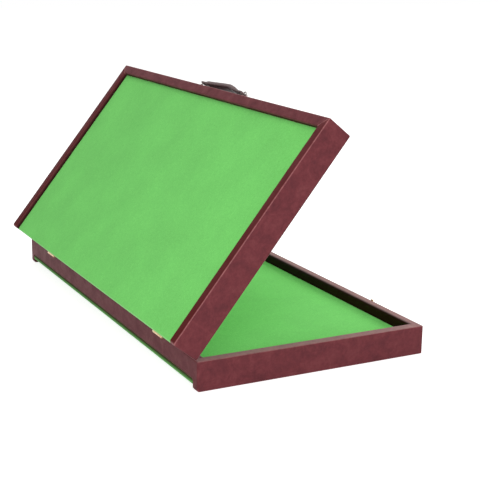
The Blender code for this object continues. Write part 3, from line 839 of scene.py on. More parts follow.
@dataclass
class LeatherWraps(HalfSheets):
    """The leatherette wrapped round a half's four walls, tucked behind the boards and mitred at the corners.

    A turn is how far a direction leans one way, from 0 to 1.
    """

    words = ("leatherette", "wrap", "wall")
    slot = Slot.LEATHERETTE
    trimmed = True
    edge_radius: float = 1.5
    rim_end_radius: float = 3.0
    edge_steps: int = 4
    pitch: float = 6.0
    wall_pitch: float = 3.0
    seam: float = 0.2
    seam_wear: float = 0.9
    tray_tuck: float = 10.9
    rim_tuck: float = 24.5
    hinge_tuck: float = 18.6
    ripple: float = 0.05
    ripple_length: float = 34.0
    hinge_reach: float = 11.6
    leaf_reach: float = 8.3
    # Painted shade on the end rims' tops, at the hinge and at the front.
    end_rim_shading: Pair = (1.0, 0.5)
    # Painted reflection on the lips, at the hinge and at the front; less at the hinge as painted shade from
    # the lid.
    lip_reflection_share: Pair = (0.42, 0.6)
    # Edge tint, partly wear and partly painted highlight: its share on the lip side, and the turn for all of
    # it.
    lip_rub_highlight: float = 0.2
    rub_highlight_turn: float = 0.4
    flat_turn: float = 0.6
    lined_turn: float = 0.25
    turn_fade: float = 0.3
    front_lap: float = 2.6
    lap_shade: float = 0.85
    recess_shade: float = 0.95
    recess_fade: float = 2.4

    def lines(self, low: float, high: float, extra: Iterable[float] = (), pitch: float = 0.0) -> list[float]:
        """Space one axis's grid lines, as close as across a wall unless a pitch is given."""
        return grid_lines(low, high, self.edge_radius, self.edge_steps, pitch or self.wall_pitch, extra)

    def dress(self, mesh: BMesh, shape: RoundedBox, inward: Sequence[Vector],
              tucks: Callable[[Vector], bool], rim_shading: Pair = (0.0, 0.0), lap: float = 0.0) -> None:
        """Round a square skin, mark its edges, lip, rim, lining and painted recess shade, and open its tucked
        side.

        Args:
            mesh: The square skin, changed in place.
            shape: The rounded box that it becomes.
            inward: Directions of the lined sides, the one that faces the trays first.
            tucks: Says which face middles are cut away.
            rim_shading: How much painted shade darkens the rim's top, at the hinge and at the front.
            lap: How far the dark lining comes over the lip.
        """
        gone = [face for face in mesh.faces if tucks(face.calc_center_median())]
        bmesh.ops.delete(mesh, geom=gone, context="FACES")
        edge, lip, rim_shade, lining = (mesh.verts.layers.float.new(name)
                                    for name in ("edge", "lip", "rim_shade", "lining"))
        lined_side = Vector(shape.high if sum(inward[0]) > 0 else shape.low)
        for vert in mesh.verts:
            vert.co, out = shape.press(vert.co)
            bend = (1 - max(abs(c) for c in out)) / (1 - math.sqrt(0.5))
            facing = max(out.dot(way) for way in inward)
            # The rounded edges get a paler tint, partly wear and partly painted highlight, mostly on the rim
            # side.
            rub_highlight = unit(max(out.z, -self.lip_rub_highlight * out.z) / self.rub_highlight_turn)
            on_rim, on_lip, lined = (unit((turn - start) / self.turn_fade) for turn, start in (
                (out.z, self.flat_turn), (-out.z, self.flat_turn), (facing, self.lined_turn)))
            to_front = vert.co.x / self.case.width
            lapped = unit(lap - inward[0].dot(lined_side - vert.co))
            # In the play-side recess the lining colour is painted darker towards the felt as painted shade;
            # on the hinge wall's foot it is a painted shadow line over the felt.
            sunk = unit((self.case.rim_top - self.edge_radius - vert.co.z) / self.recess_fade)
            depth = self.recess_shade * sunk if vert.co.z > self.hinge_tuck else 1.0
            vert[edge] = unit(bend) * rub_highlight if facing < TOUCH else 0.0
            # Lip tops: a pale painted reflection, weaker towards the hinge as painted shade.
            vert[lip] = between(self.lip_reflection_share, to_front) * on_lip
            # End rims' tops: a deeper red painted in as painted shade, stronger at the hinge.
            vert[rim_shade] = between(rim_shading, to_front) * on_rim
            vert[lining] = max(depth * lined, self.lap_shade * lapped * on_lip)
            lift = noise.noise(vert.co / self.ripple_length) - 0.5
            vert.co += out * self.ripple * lift * (1 - vert[edge])

    def mitre(self, mesh: BMesh, corner: Point, away: Point) -> None:
        """Cut a skin along a corner's mitre, clear of its neighbour, with wear beside the cut.

        Args:
            mesh: The skin, changed in place.
            corner: A point on the mitre.
            away: The direction across the mitre, out of the skin.
        """
        normal = Vector(away).normalized()
        for setback in (self.seam + self.seam_wear, self.seam):
            geometry = [*mesh.verts, *mesh.edges, *mesh.faces]
            made = bmesh.ops.bisect_plane(mesh, geom=geometry, plane_co=Vector(corner) - normal * setback,
                                          plane_no=normal, clear_outer=setback == self.seam)
        edge = mesh.verts.layers.float["edge"]
        for part in made["geom_cut"]:
            if isinstance(part, BMVert):
                part[edge] = 1.0

    @property
    def girth(self) -> float:
        """Add up the leatherette's width round a rimmed wall.

        Returns:
            The width from one tucked edge to the other.
        """
        case = self.case
        height = case.rim_top - case.lip
        return height + 2 * case.wall + (self.tray_tuck - case.lip) + (case.rim_top - self.rim_tuck)

    def end_wrap(self, end: End) -> Object:
        """Wrap an end wall; its skin's y runs from the outer face inwards.

        Args:
            end: The wall's end of the case.

        Returns:
            The finished wrap.
        """
        case = self.case
        corner = [between((self.edge_radius, self.rim_end_radius), step / 3) for step in (1, 2, 3)]
        levels = [case.rim_top - place for place in corner] + [self.tray_tuck, self.rim_tuck]
        mesh = box_grid((self.lines(0, case.width, corner, self.pitch), self.lines(0, case.wall),
                         self.lines(case.lip, case.rim_top, levels)))
        shape = RoundedBox((0, 0, case.lip), (case.width, case.wall, case.rim_top), (self.edge_radius,) * 3,
                           self.rim_end_radius, case.hinge_wall_foot)

        def tucked(middle: Vector) -> bool:
            """Say whether a face, by its middle, lies behind the boards."""
            behind = self.tray_tuck < middle.z < self.rim_tuck and middle.x > case.wrap
            return behind and middle.y > case.wall - TOUCH

        self.dress(mesh, shape, [Vector((0, 1, 0))], tucked, rim_shading=self.end_rim_shading)
        self.mitre(mesh, (case.width, 0, 0), (1, 1, 0))
        inward = -end.value
        return self.settle(end.label, mesh, case.wrap, (self.girth, case.width + case.wall), "stretched",
                           inward < 0, lambda y: inward * y - inward * case.half_length)

    def front_wrap(self) -> Object:
        """Wrap the front wall between its two mitres.

        Returns:
            The finished wrap.
        """
        case = self.case
        half = case.half_length
        inner = case.width - case.wall
        mesh = box_grid((self.lines(inner, case.width), self.lines(-half, half, pitch=self.pitch),
                         self.lines(case.lip, case.rim_top, (self.tray_tuck, self.rim_tuck))))
        shape = RoundedBox((inner, -half, case.lip), (case.width, half, case.rim_top),
                           (self.edge_radius,) * 3)

        def tucked(middle: Vector) -> bool:
            """Say whether a face, by its middle, lies behind the boards."""
            return self.tray_tuck < middle.z < self.rim_tuck and middle.x < inner + TOUCH

        self.dress(mesh, shape, [Vector((-1, 0, 0))], tucked, lap=self.front_lap)
        for side in (1, -1):
            self.mitre(mesh, (case.width, side * half, 0), (-1, side, 0))
        return self.settle("front", mesh, case.wrap, (self.girth, case.length), "stretched")

    def hinge_wrap(self) -> Object:
        """Wrap the hinge wall, which is cut away where the hinge leaves are let into its lip.

        Returns:
            The finished wrap.
        """
        case = self.case
        half = case.half_length - case.hinge_wall_gap - case.wall
        radius = self.edge_radius
        edges = [sign * case.hinge_y + side * self.hinge_reach for sign in (-1, 1) for side in (-1, 1)]
        along = sorted({*grid_lines(-half, half, 0.0, 1, self.pitch, edges)})
        mesh = box_grid((self.lines(0, case.wall, (self.leaf_reach,)), along,
                         self.lines(case.lip, case.hinge_wall_foot, (self.tray_tuck, self.hinge_tuck))))
        shape = RoundedBox((0, -half, case.lip), (case.wall, half, case.hinge_wall_foot),
                           (radius, 0.0, radius))

        def cut_away(middle: Vector) -> bool:
            """Say whether a face is cut away.

            Args:
                middle: The face's middle.

            Returns:
                True behind the storage board, at an open end and under a hinge leaf.
            """
            behind = self.tray_tuck < middle.z < self.hinge_tuck and middle.x > case.wall - TOUCH
            beside = abs(abs(middle.y) - case.hinge_y) < self.hinge_reach
            let_in = middle.z < case.lip + TOUCH and middle.x < self.leaf_reach
            corner = middle.x < TOUCH and middle.z < case.lip + radius
            return behind or abs(middle.y) > half - TOUCH or (beside and (let_in or corner))

        # The foot's rounding faces the second inward way, so it takes the dark lining colour as a painted
        # shadow line over the felt.
        self.dress(mesh, shape, [Vector((1, 0, 0)), Vector((0, 0, 1))], cut_away)
        girth = 2 * (case.hinge_wall_foot + case.wall) - (self.hinge_tuck - self.tray_tuck)
        return self.settle("hinge", mesh, case.wrap, (girth, 2 * half), "stretched")

    def build(self) -> list[Object]:
        """Wrap all four walls of the half."""
        return [*(self.end_wrap(end) for end in End), self.front_wrap(), self.hinge_wrap()]


@dataclass
class FeltLinings(HalfSheets):
    """The two felts of a half: one laid in the storage tray, one pulled over the play board's hinge edge.

    The hem is what turns in under the board: each point's x and rise in thicknesses, and its painted shadow
    under the hinge wall's overhang.
    """

    words = ("cloth", "felt", "board")
    slot = Slot.FELT
    trimmed = False
    pitch: float = 4.5
    edge: float = 1.2
    edge_steps: int = 3
    edge_drop: float = 0.25
    ripple: float = 0.06
    ripple_length: float = 26.0
    play_ripple_offset: float = 9.0
    fold_steps: int = 5
    # Paler tint at the fold, partly stretching and partly painted highlight.
    fold_highlight: float = 0.5
    hem: tuple[Point, ...] = ((1.0, 0.0, 1.0), (0.35, 0.5, 1.0), (0.0, 1.6, 0.85))
    # Painted shadow on the flange just above the fold.
    fold_shadow: float = 0.45

    def lines(self, low: float, high: float) -> list[float]:
        """Space one axis's grid lines."""
        return grid_lines(low, high, self.edge, self.edge_steps, self.pitch)

    def wave(self, x: float, y: float, offset: float) -> float:
        """How far the felt lies off its plane at a point."""
        return self.ripple * noise.noise(Vector((x, y, offset)) / self.ripple_length)

    def roll(self, margin: float) -> float:
        """How far the felt's cut edge drops, at a distance from it."""
        return self.edge_drop * max(1 - margin / self.edge, 0.0) ** 2

    def storage(self) -> Object:
        """Lay the felt in the storage tray.

        Returns:
            The finished felt.
        """
        case = self.case
        low_x, high_x = case.inside, case.width - case.inside
        half = case.half_length - case.inside
        along_y = self.lines(-half, half)
        rows = []
        for x in self.lines(low_x, high_x):
            drops = [self.roll(min(x - low_x, high_x - x, half - abs(y))) for y in along_y]
            rows.append([(x, y, case.storage_level + drop + self.wave(x, y, 0.0))
                         for y, drop in zip(along_y, drops)])
        return self.settle("storage", swept_grid(rows), case.felt, (high_x - low_x, 2 * half), "laid", True)

    def play(self) -> Object:
        """Pull the felt over the play board's hinge edge and lay it to the rim.

        Returns:
            The finished felt.
        """
        case = self.case
        high_x = case.width - case.inside
        half = case.half_length - case.inside
        radius, foot, top = case.felt, case.play_board_low, case.play_level
        # The hem and flange carry painted shadow from the hinge wall's overhang, fading towards the fold.
        path = [(x * radius, foot + rise * radius, 0.0, tuck_shadow) for x, rise, tuck_shadow in self.hem]
        path.append((0.0, top - 2 * radius, 0.0, self.fold_shadow))
        # The fold is painted paler, partly for stretching and partly as a painted highlight.
        for step in range(self.fold_steps + 1):
            turn = math.pi / 2 * step / self.fold_steps
            level = top - radius + radius * math.sin(turn)
            path.append((radius - radius * math.cos(turn), level, self.fold_highlight, 0.0))
        path += [(x, top, unit(self.fold_highlight - x / self.edge), 0.0) for x in self.lines(radius, high_x)[1:]]
        along_y = self.lines(-half, half)
        rows = []
        for x, level, _, _ in path:
            row = []
            for y in along_y:
                lift = self.wave(x, y, self.play_ripple_offset) if x > radius else 0.0
                row.append((x, y, level - self.roll(min(high_x - x, half - abs(y))) + lift))
            rows.append(row)
        mesh = swept_grid(rows)
        mark_verts(mesh, "edge", [fold_light for _, _, fold_light, _ in path for _ in along_y])
        mark_verts(mesh, "tuck_shade", [tuck_shadow for _, _, _, tuck_shadow in path for _ in along_y])
        wrapped = top - foot - (2 - math.pi / 2) * radius
        return self.settle("play", mesh, case.felt, (high_x + wrapped, 2 * half), "stretched")

    def build(self) -> list[Object]:
        """Make both felts of the half."""
        return [self.storage(), self.play()]


class Recipe:
    """A Geometry Nodes tree with named lengths, run on carrier objects and baked to plain meshes."""

    def __init__(self, name: str, sizes: Mapping[str, float]) -> None:
        """Start a tree that takes geometry and lengths, and gives geometry.

        Args:
            name: The tree's name.
            sizes: The lengths in millimetres, each with its input's name.
        """
        self.tree = bpy.data.node_groups.new(name, "GeometryNodeTree")
        face = self.tree.interface
        for way in ("INPUT", "OUTPUT"):
            face.new_socket("Geometry", in_out=way, socket_type="NodeSocketGeometry")
        self.values: dict[str, float] = {}
        for key, length in sizes.items():
            socket = face.new_socket(key, in_out="INPUT", socket_type="NodeSocketFloat")
            self.values[socket.identifier] = length * MM
        source = add_node(self.tree, "NodeGroupInput")
        self.geometry = source.outputs["Geometry"]
        self.size = {key: source.outputs[key] for key in sizes}

    def close(self, instances: NodeSocket, material: Material) -> None:
        """Close the tree: realize the instances and give them their finish.

        Args:
            instances: The instances.
            material: Their finish.
        """
        real = add_node(self.tree, "GeometryNodeRealizeInstances", {0: instances}).outputs[0]
        shown = add_node(self.tree, "GeometryNodeSetMaterial", {
            "Geometry": real, "Material": material}).outputs[0]
        add_node(self.tree, "NodeGroupOutput", {0: shown})

    def run(self, carrier: Object) -> Object:
        """Apply the tree to a carrier.

        Args:
            carrier: The object with the points or path, which is removed.

        Returns:
            The plain mesh object.
        """
        modifier = carrier.modifiers.new(self.tree.name, "NODES")
        modifier.node_group = self.tree
        for identifier, value in self.values.items():
            modifier[identifier] = value
        return bake(carrier)


@dataclass
class ScrewSet:
    """Small countersunk cross-head screws, instanced in their places."""

    material: Material
    head_radius: float = 1.5
    head_depth: float = 0.7
    shank_radius: float = 0.75
    shank_length: float = 7.3
    slot_length: float = 1.7
    slot_width: float = 0.42
    slot_depth: float = 0.45
    sides: int = 24

    def __post_init__(self) -> None:
        """Build the tree: a turned screw with a cross slot on each point, facing its attribute."""
        self.recipe = Recipe("cross_head_screws", {
            "Head Radius": self.head_radius, "Head Depth": self.head_depth,
            "Shank Radius": self.shank_radius, "Shank Length": self.shank_length,
            "Slot Length": self.slot_length, "Slot Width": self.slot_width, "Slot Depth": self.slot_depth})
        tree, size = self.recipe.tree, self.recipe.size
        sunk, deep, middle = (
            add_node(tree, "ShaderNodeMath", {0: size[name], 1: share}, operation="MULTIPLY").outputs[0]
            for name, share in (("Head Depth", -1.0), ("Slot Depth", 2.0), ("Shank Length", -0.5)))
        under = add_node(tree, "ShaderNodeMath", {0: middle, 1: sunk}, operation="ADD").outputs[0]
        cone = add_node(tree, "GeometryNodeMeshCone", {
            "Vertices": self.sides, "Radius Top": size["Head Radius"], "Radius Bottom": size["Shank Radius"],
            "Depth": size["Head Depth"]}).outputs["Mesh"]
        rod = add_node(tree, "GeometryNodeMeshCylinder", {
            "Vertices": self.sides, "Radius": size["Shank Radius"],
            "Depth": size["Shank Length"]}).outputs["Mesh"]
        lowered = []
        for part, drop in ((cone, sunk), (rod, under)):
            step = add_node(tree, "ShaderNodeCombineXYZ", {"Z": drop}).outputs[0]
            lowered.append(add_node(tree, "GeometryNodeTransform", {
                "Geometry": part, "Translation": step}).outputs[0])
        cutters = []
        for x, y in (("Slot Length", "Slot Width"), ("Slot Width", "Slot Length")):
            spans = add_node(tree, "ShaderNodeCombineXYZ", {
                "X": size[x], "Y": size[y], "Z": deep}).outputs[0]
            cutters.append(add_node(tree, "GeometryNodeMeshCube", {"Size": spans}).outputs["Mesh"])
        slotted = add_node(tree, "GeometryNodeMeshBoolean", {"Mesh 1": lowered[0], "Mesh 2": cutters},
                           operation="DIFFERENCE").outputs["Mesh"]
        whole = add_node(tree, "GeometryNodeJoinGeometry", {0: [slotted, lowered[1]]}).outputs[0]
        facing = add_node(tree, "GeometryNodeInputNamedAttribute", {"Name": "facing"},
                          data_type="FLOAT_VECTOR").outputs[0]
        turn = add_node(tree, "FunctionNodeAlignRotationToVector", {"Vector": facing}, axis="Z").outputs[0]
        spots = add_node(tree, "GeometryNodeInstanceOnPoints", {
            "Points": self.recipe.geometry, "Instance": whole, "Rotation": turn}).outputs[0]
        self.recipe.close(spots, self.material)

    def drive(self, name: str, spots: Sequence[tuple[Vector, Vector]], body: str,
              nodes: Sequence[str]) -> Object:
        """Put a screw at each spot.

        Args:
            name: The piece's name.
            spots: The middle of each head's face and the direction it looks in.
            body: The body that the screws ride on.
            nodes: The screw nodes that they stand for.

        Returns:
            One mesh of all the screws.
        """
        mesh = bmesh.new()
        facing = mesh.verts.layers.float_vector.new("facing")
        for spot, out in spots:
            mesh.verts.new(spot)[facing] = out
        data = bpy.data.meshes.new(name)
        mesh.to_mesh(data)
        mesh.free()
        return claim(self.recipe.run(link_object(name, data)), body, Slot.BRASS, *nodes)


@dataclass
class Fittings:
    """Hinges, latches, keepers and handle eyes, with the rolled edges of pressed metal, and their screws."""

    case: Case
    bodies: Mapping[str, Sequence[str]]
    nodes: Mapping[str, Object]
    brass: Material
    nickel: Material
    edge: float = 0.16
    edge_segments: int = 2
    sharp_angle: float = 30.0
    flat_angle: float = 0.5
    merge_distance: float = 0.001
    screw_spacing: float = 13.0
    hinge_screw_x: float = 4.4
    hinge_face_level: float = 0.1
    latch_y: float = 156.0
    latch_face_x: float = 251.1
    latch_screw_level: float = 11.5

    def pressed(self, node: str, body: str, material: Material, slot: Slot) -> Object:
        """Copy a plate with its edges rolled.

        Args:
            node: The plate's node.
            body: The body it rides on.
            material: Its finish.
            slot: The name of the record's material slot that goes with its finish.

        Returns:
            The copy, which stands for the node.
        """
        mesh = bmesh.new()
        mesh.from_mesh(self.nodes[node].data)
        bmesh.ops.remove_doubles(mesh, verts=mesh.verts[:], dist=self.merge_distance * MM)
        bmesh.ops.dissolve_limit(mesh, angle_limit=math.radians(self.flat_angle), verts=mesh.verts[:],
                                 edges=mesh.edges[:])
        limit = math.radians(self.sharp_angle)
        sharp = [e for e in mesh.edges if e.is_manifold and e.is_convex and e.calc_face_angle() > limit]
        bmesh.ops.bevel(mesh, geom=sharp, offset=self.edge * MM, segments=self.edge_segments, profile=0.5,
                        affect="EDGES", clamp_overlap=True)
        piece = add_object(f"{node}_plated", mesh, material)
        piece.data.set_sharp_from_angle(angle=limit)
        return claim(piece, body, slot, node)

    def screw_spots(self, half: Half, middle: Point, out: Pair) -> list[tuple[Vector, Vector]]:
        """Places and facings of the two screws of one plate.

        Args:
            half: The half whose coordinates are given.
            middle: The middle of the plate's screws, on its face.
            out: The x and level steps of the way that they face.

        Returns:
            A place and a facing for each screw.
        """
        x, y, level = middle
        face = self.case.place(half, x, y, level)
        away = (self.case.place(half, x + out[0], y, level + out[1]) - face).normalized()
        along = Vector((0, self.screw_spacing / 2 * MM, 0))
        return [(face - along, away), (face + along, away)]

    def drive_screws(self) -> list[Object]:
        """Drive the hinge and latch screws.

        Returns:
            One mesh of screws for each half.
        """
        screws = ScrewSet(self.brass)
        made = []
        for half in Half:
            spots = []
            for end in End:
                hinge = (self.hinge_screw_x, end.value * self.case.hinge_y, self.hinge_face_level)
                spots += self.screw_spots(half, hinge, (0.0, -1.0))
                if half is Half.LID:
                    latch = (self.latch_face_x, end.value * self.latch_y, self.latch_screw_level)
                    spots += self.screw_spots(half, latch, (1.0, 0.0))
            nodes = [node for node in self.bodies[half.body] if "_screw_" in node]
            made.append(screws.drive(f"{half.value}_screws", spots, half.body, nodes))
        return made

    def build(self) -> list[Object]:
        """Make every metal fitting of the case except the handle's rings.

        Returns:
            The fittings, with the screws last.
        """
        made = []
        for body, members in self.bodies.items():
            for node in members:
                if node.endswith("_eye"):
                    made.append(self.pressed(node, body, self.nickel, Slot.NICKEL))
                elif node.endswith(("_leaf", "_base", "_flap", "_keeper", "_stud", "_pin")):
                    made.append(self.pressed(node, body, self.brass, Slot.BRASS))
        return made + self.drive_screws()


@dataclass
class CarryHandle:
    """The carrying handle: a stitched leather strap with some slack, on two three-sided wire rings."""

    case: Case
    leather: Material
    nickel: Material
    thread: Material
    body: str = "handle"
    axis_x: float = 253.3
    axis_level: float = 15.0
    eye_spacing: float = 103.0
    strap_bar_y: float = 46.0
    tab_end: float = 2.2
    tab_length: float = 8.0
    tab_width: float = 12.0
    tab_thickness: float = 2.4
    tab_reach: float = 4.0
    crest_y: float = -19.0
    swell: float = 10.0
    grip_width: float = 15.0
    grip_thickness: float = 4.4
    grip_reach: float = 6.9
    corner_share: float = 0.9
    corner_steps: int = 6
    paint_share: float = 0.8
    paint_fade: float = 0.4
    stations: int = 96
    hole_radius: float = 1.3
    hole_sides: int = 24
    punch_depth: float = 9.6
    wire_radius: float = 0.9
    wire_sides: int = 16
    merge_distance: float = 0.0001
    ring_strap_side: float = 5.5
    ring_outer_side: float = 10.0
    ring_reach: float = 7.0
    ring_crest: float = 3.0
    ring_corner: float = 1.5
    ring_corner_steps: int = 6
    stitch_inset: float = 2.2
    stitch_pitch: float = 2.6
    stitch_length: float = 1.9
    stitch_thickness: float = 0.5

    @property
    def tab_start(self) -> float:
        """How far from the middle the strap's flat tabs start."""
        return self.strap_bar_y + self.tab_end - self.tab_length

    def spot(self, reach: float, y: float, across: float) -> Vector:
        """Turn a place in the handle's own axes into the frame's."""
        return self.case.place(Half.LID, self.axis_x + reach, y, self.axis_level + across)

    def section(self, y: float) -> Point:
        """Size the strap at a place along it.

        Args:
            y: The place.

        Returns:
            Its reach from the axis, half width and half thickness.
        """
        foot = -self.tab_start if y < self.crest_y else self.tab_start
        rise = unit((y - foot) / (self.crest_y - foot))
        full = eased(unit((self.tab_start - abs(y)) / self.swell))
        reach = between((self.tab_reach, self.grip_reach), (rise + eased(rise)) / 2)
        width = between((self.tab_width, self.grip_width), full)
        thickness = between((self.tab_thickness, self.grip_thickness), full)
        return reach, width / 2, thickness / 2

    def outline(self, wide: float, thick: float) -> list[Pair]:
        """Draw the strap's section.

        Args:
            wide: Its half width.
            thick: Its half thickness.

        Returns:
            Its (outwards, across) points, anticlockwise.
        """
        corner = self.corner_share * thick
        points = []
        for quarter, (out, across) in enumerate(((1, 1), (-1, 1), (-1, -1), (1, -1))):
            for step in range(self.corner_steps + 1):
                turn = math.pi / 2 * (quarter + step / self.corner_steps)
                points.append((out * (thick - corner) + corner * math.cos(turn),
                               across * (wide - corner) + corner * math.sin(turn)))
        return points

    def strap(self) -> Object:
        """Loft the strap and punch the holes that the rings go through.

        Returns:
            The finished strap.
        """
        half = self.strap_bar_y + self.tab_end
        rows, shades = [], []
        for station in range(self.stations + 1):
            y = -half + 2 * half * station / self.stations
            reach, wide, thick = self.section(y)
            outline = self.outline(wide, thick)
            rows.append([self.spot(reach + out, y, across) for out, across in outline])
            shades += [unit((abs(across) - wide + self.paint_share * thick) / (self.paint_fade * thick))
                       for _, across in outline]
        mesh = swept_grid(rows, closed=True)
        mark_verts(mesh, "edge", shades)
        open_ends = [edge for edge in mesh.edges if edge.is_boundary]
        bmesh.ops.holes_fill(mesh, edges=open_ends, sides=0)
        bmesh.ops.recalc_face_normals(mesh, faces=mesh.faces[:])
        piece = add_object("handle_strap", mesh, self.leather)
        cutters = []
        for end in End:
            cutter = bmesh.new()
            radius = self.hole_radius * MM
            bmesh.ops.create_cone(cutter, cap_ends=True, segments=self.hole_sides, radius1=radius,
                                  radius2=radius, depth=self.punch_depth * MM)
            y = end.value * self.strap_bar_y
            middle = self.spot(self.tab_reach, y, 0)
            out = self.spot(self.tab_reach + 1, y, 0) - middle
            turn = out.to_track_quat("Z", "Y").to_matrix().to_4x4()
            bmesh.ops.transform(cutter, matrix=Matrix.Translation(middle) @ turn, verts=cutter.verts[:])
            cutters.append(add_object(f"{end.label}_strap_punch", cutter, self.leather))
            punch = piece.modifiers.new("punch", "BOOLEAN")
            punch.object = cutters[-1]
        piece = bake(piece)
        for cutter in cutters:
            bpy.data.objects.remove(cutter)
        return claim(piece, self.body, Slot.STRAP, "handle_grip")

    def ring_path(self, sign: int) -> list[Vector]:
        """Draw one ring's middle line, with rounded corners.

        Args:
            sign: The direction from the strap's side of the ring to its outer side.

        Returns:
            Its (along, outwards) points.
        """
        strap_side = -sign * self.ring_strap_side
        corners = [Vector((strap_side, 0.0)), Vector((strap_side, self.ring_reach)),
                   Vector((strap_side + sign * self.ring_crest, self.ring_reach)),
                   Vector((sign * self.ring_outer_side, 0.0))]
        path = []
        for i, corner in enumerate(corners):
            before = (corners[i - 1] - corner).normalized()
            after = (corners[(i + 1) % len(corners)] - corner).normalized()
            setback = self.ring_corner / math.tan(before.angle(after) / 2)
            for step in range(self.ring_corner_steps + 1):
                share = step / self.ring_corner_steps
                path.append(corner + before * setback * (1 - share) ** 2 + after * setback * share ** 2)
        return path

    def ring(self, end: End) -> Object:
        """Sweep one ring's round wire along its path.

        Args:
            end: The ring's end of the strap.

        Returns:
            The finished ring.
        """
        path = self.ring_path(end.value)
        rows = []
        for i, point in enumerate(path):
            ahead = (path[(i + 1) % len(path)] - path[i - 1]).normalized()
            side = Vector((ahead.y, -ahead.x))
            row = []
            for step in range(self.wire_sides):
                turn = 2 * math.pi * step / self.wire_sides
                along, out = point + side * self.wire_radius * math.cos(turn)
                y = end.value * self.eye_spacing / 2 + along
                row.append(self.spot(out, y, self.wire_radius * math.sin(turn)))
            rows.append(row)
        mesh = swept_grid([*rows, rows[0]], closed=True)
        bmesh.ops.remove_doubles(mesh, verts=mesh.verts[:], dist=self.merge_distance * MM)
        bmesh.ops.recalc_face_normals(mesh, faces=mesh.faces[:])
        piece = add_object(f"{end.label}_handle_wire", mesh, self.nickel)
        return claim(piece, self.body, Slot.NICKEL, f"{end.label}_handle_ring")

    def stitches(self) -> Object:
        """Sew a row of stitches along each side of the strap's outer face.

        Returns:
            One mesh of all the stitches.
        """
        recipe = Recipe("strap_stitches", {
            "Pitch": self.stitch_pitch, "Length": self.stitch_length, "Thickness": self.stitch_thickness})
        tree, size = recipe.tree, recipe.size
        path = add_node(tree, "GeometryNodeMeshToCurve", {"Mesh": recipe.geometry}).outputs[0]
        spots = add_node(tree, "GeometryNodeResampleCurve", {"Curve": path, "Length": size["Pitch"]},
                         mode="LENGTH").outputs[0]
        bead = add_node(tree, "GeometryNodeMeshUVSphere", {
            "Segments": 8, "Rings": 6, "Radius": 0.5}).outputs["Mesh"]
        spans = add_node(tree, "ShaderNodeCombineXYZ", {
            "X": size["Length"], "Y": size["Thickness"], "Z": size["Thickness"]}).outputs[0]
        bead = add_node(tree, "GeometryNodeTransform", {"Geometry": bead, "Scale": spans}).outputs[0]
        along = add_node(tree, "GeometryNodeInputTangent").outputs[0]
        turn = add_node(tree, "FunctionNodeAlignRotationToVector", {"Vector": along}, axis="X").outputs[0]
        sewn = add_node(tree, "GeometryNodeInstanceOnPoints", {
            "Points": spots, "Instance": bead, "Rotation": turn}).outputs[0]
        recipe.close(sewn, self.thread)
        mesh = bmesh.new()
        for side in (-1, 1):
            last = None
            for station in range(self.stations + 1):
                y = -self.tab_start + 2 * self.tab_start * station / self.stations
                reach, wide, thick = self.section(y)
                here = mesh.verts.new(self.spot(reach + thick, y, side * (wide - self.stitch_inset)))
                if last:
                    mesh.edges.new((last, here))
                last = here
        carrier = add_object("strap_stitches", mesh, self.thread)
        return claim(recipe.run(carrier), self.body, Slot.STRAP)

    def build(self) -> list[Object]:
        """Make the strap, its stitches and both rings."""
        rings = [self.ring(end) for end in End]
        return [self.strap(), self.stitches(), *rings]


@dataclass(frozen=True)
class Lamp:
    """A soft square studio lamp, with its place and side in metres and its power in watts."""

    name: str
    place: Point
    power: float
    side: float

    def hang(self, target: Vector) -> None:
        """Add the lamp.

        Args:
            target: The point that it is aimed at.
        """
        light = bpy.data.lights.new(self.name, "AREA")
        light.energy = self.power
        light.size = self.side
        lamp = link_object(self.name, light)
        lamp.location = self.place
        lamp.rotation_euler = (target - lamp.location).to_track_quat("-Z", "Y").to_euler()


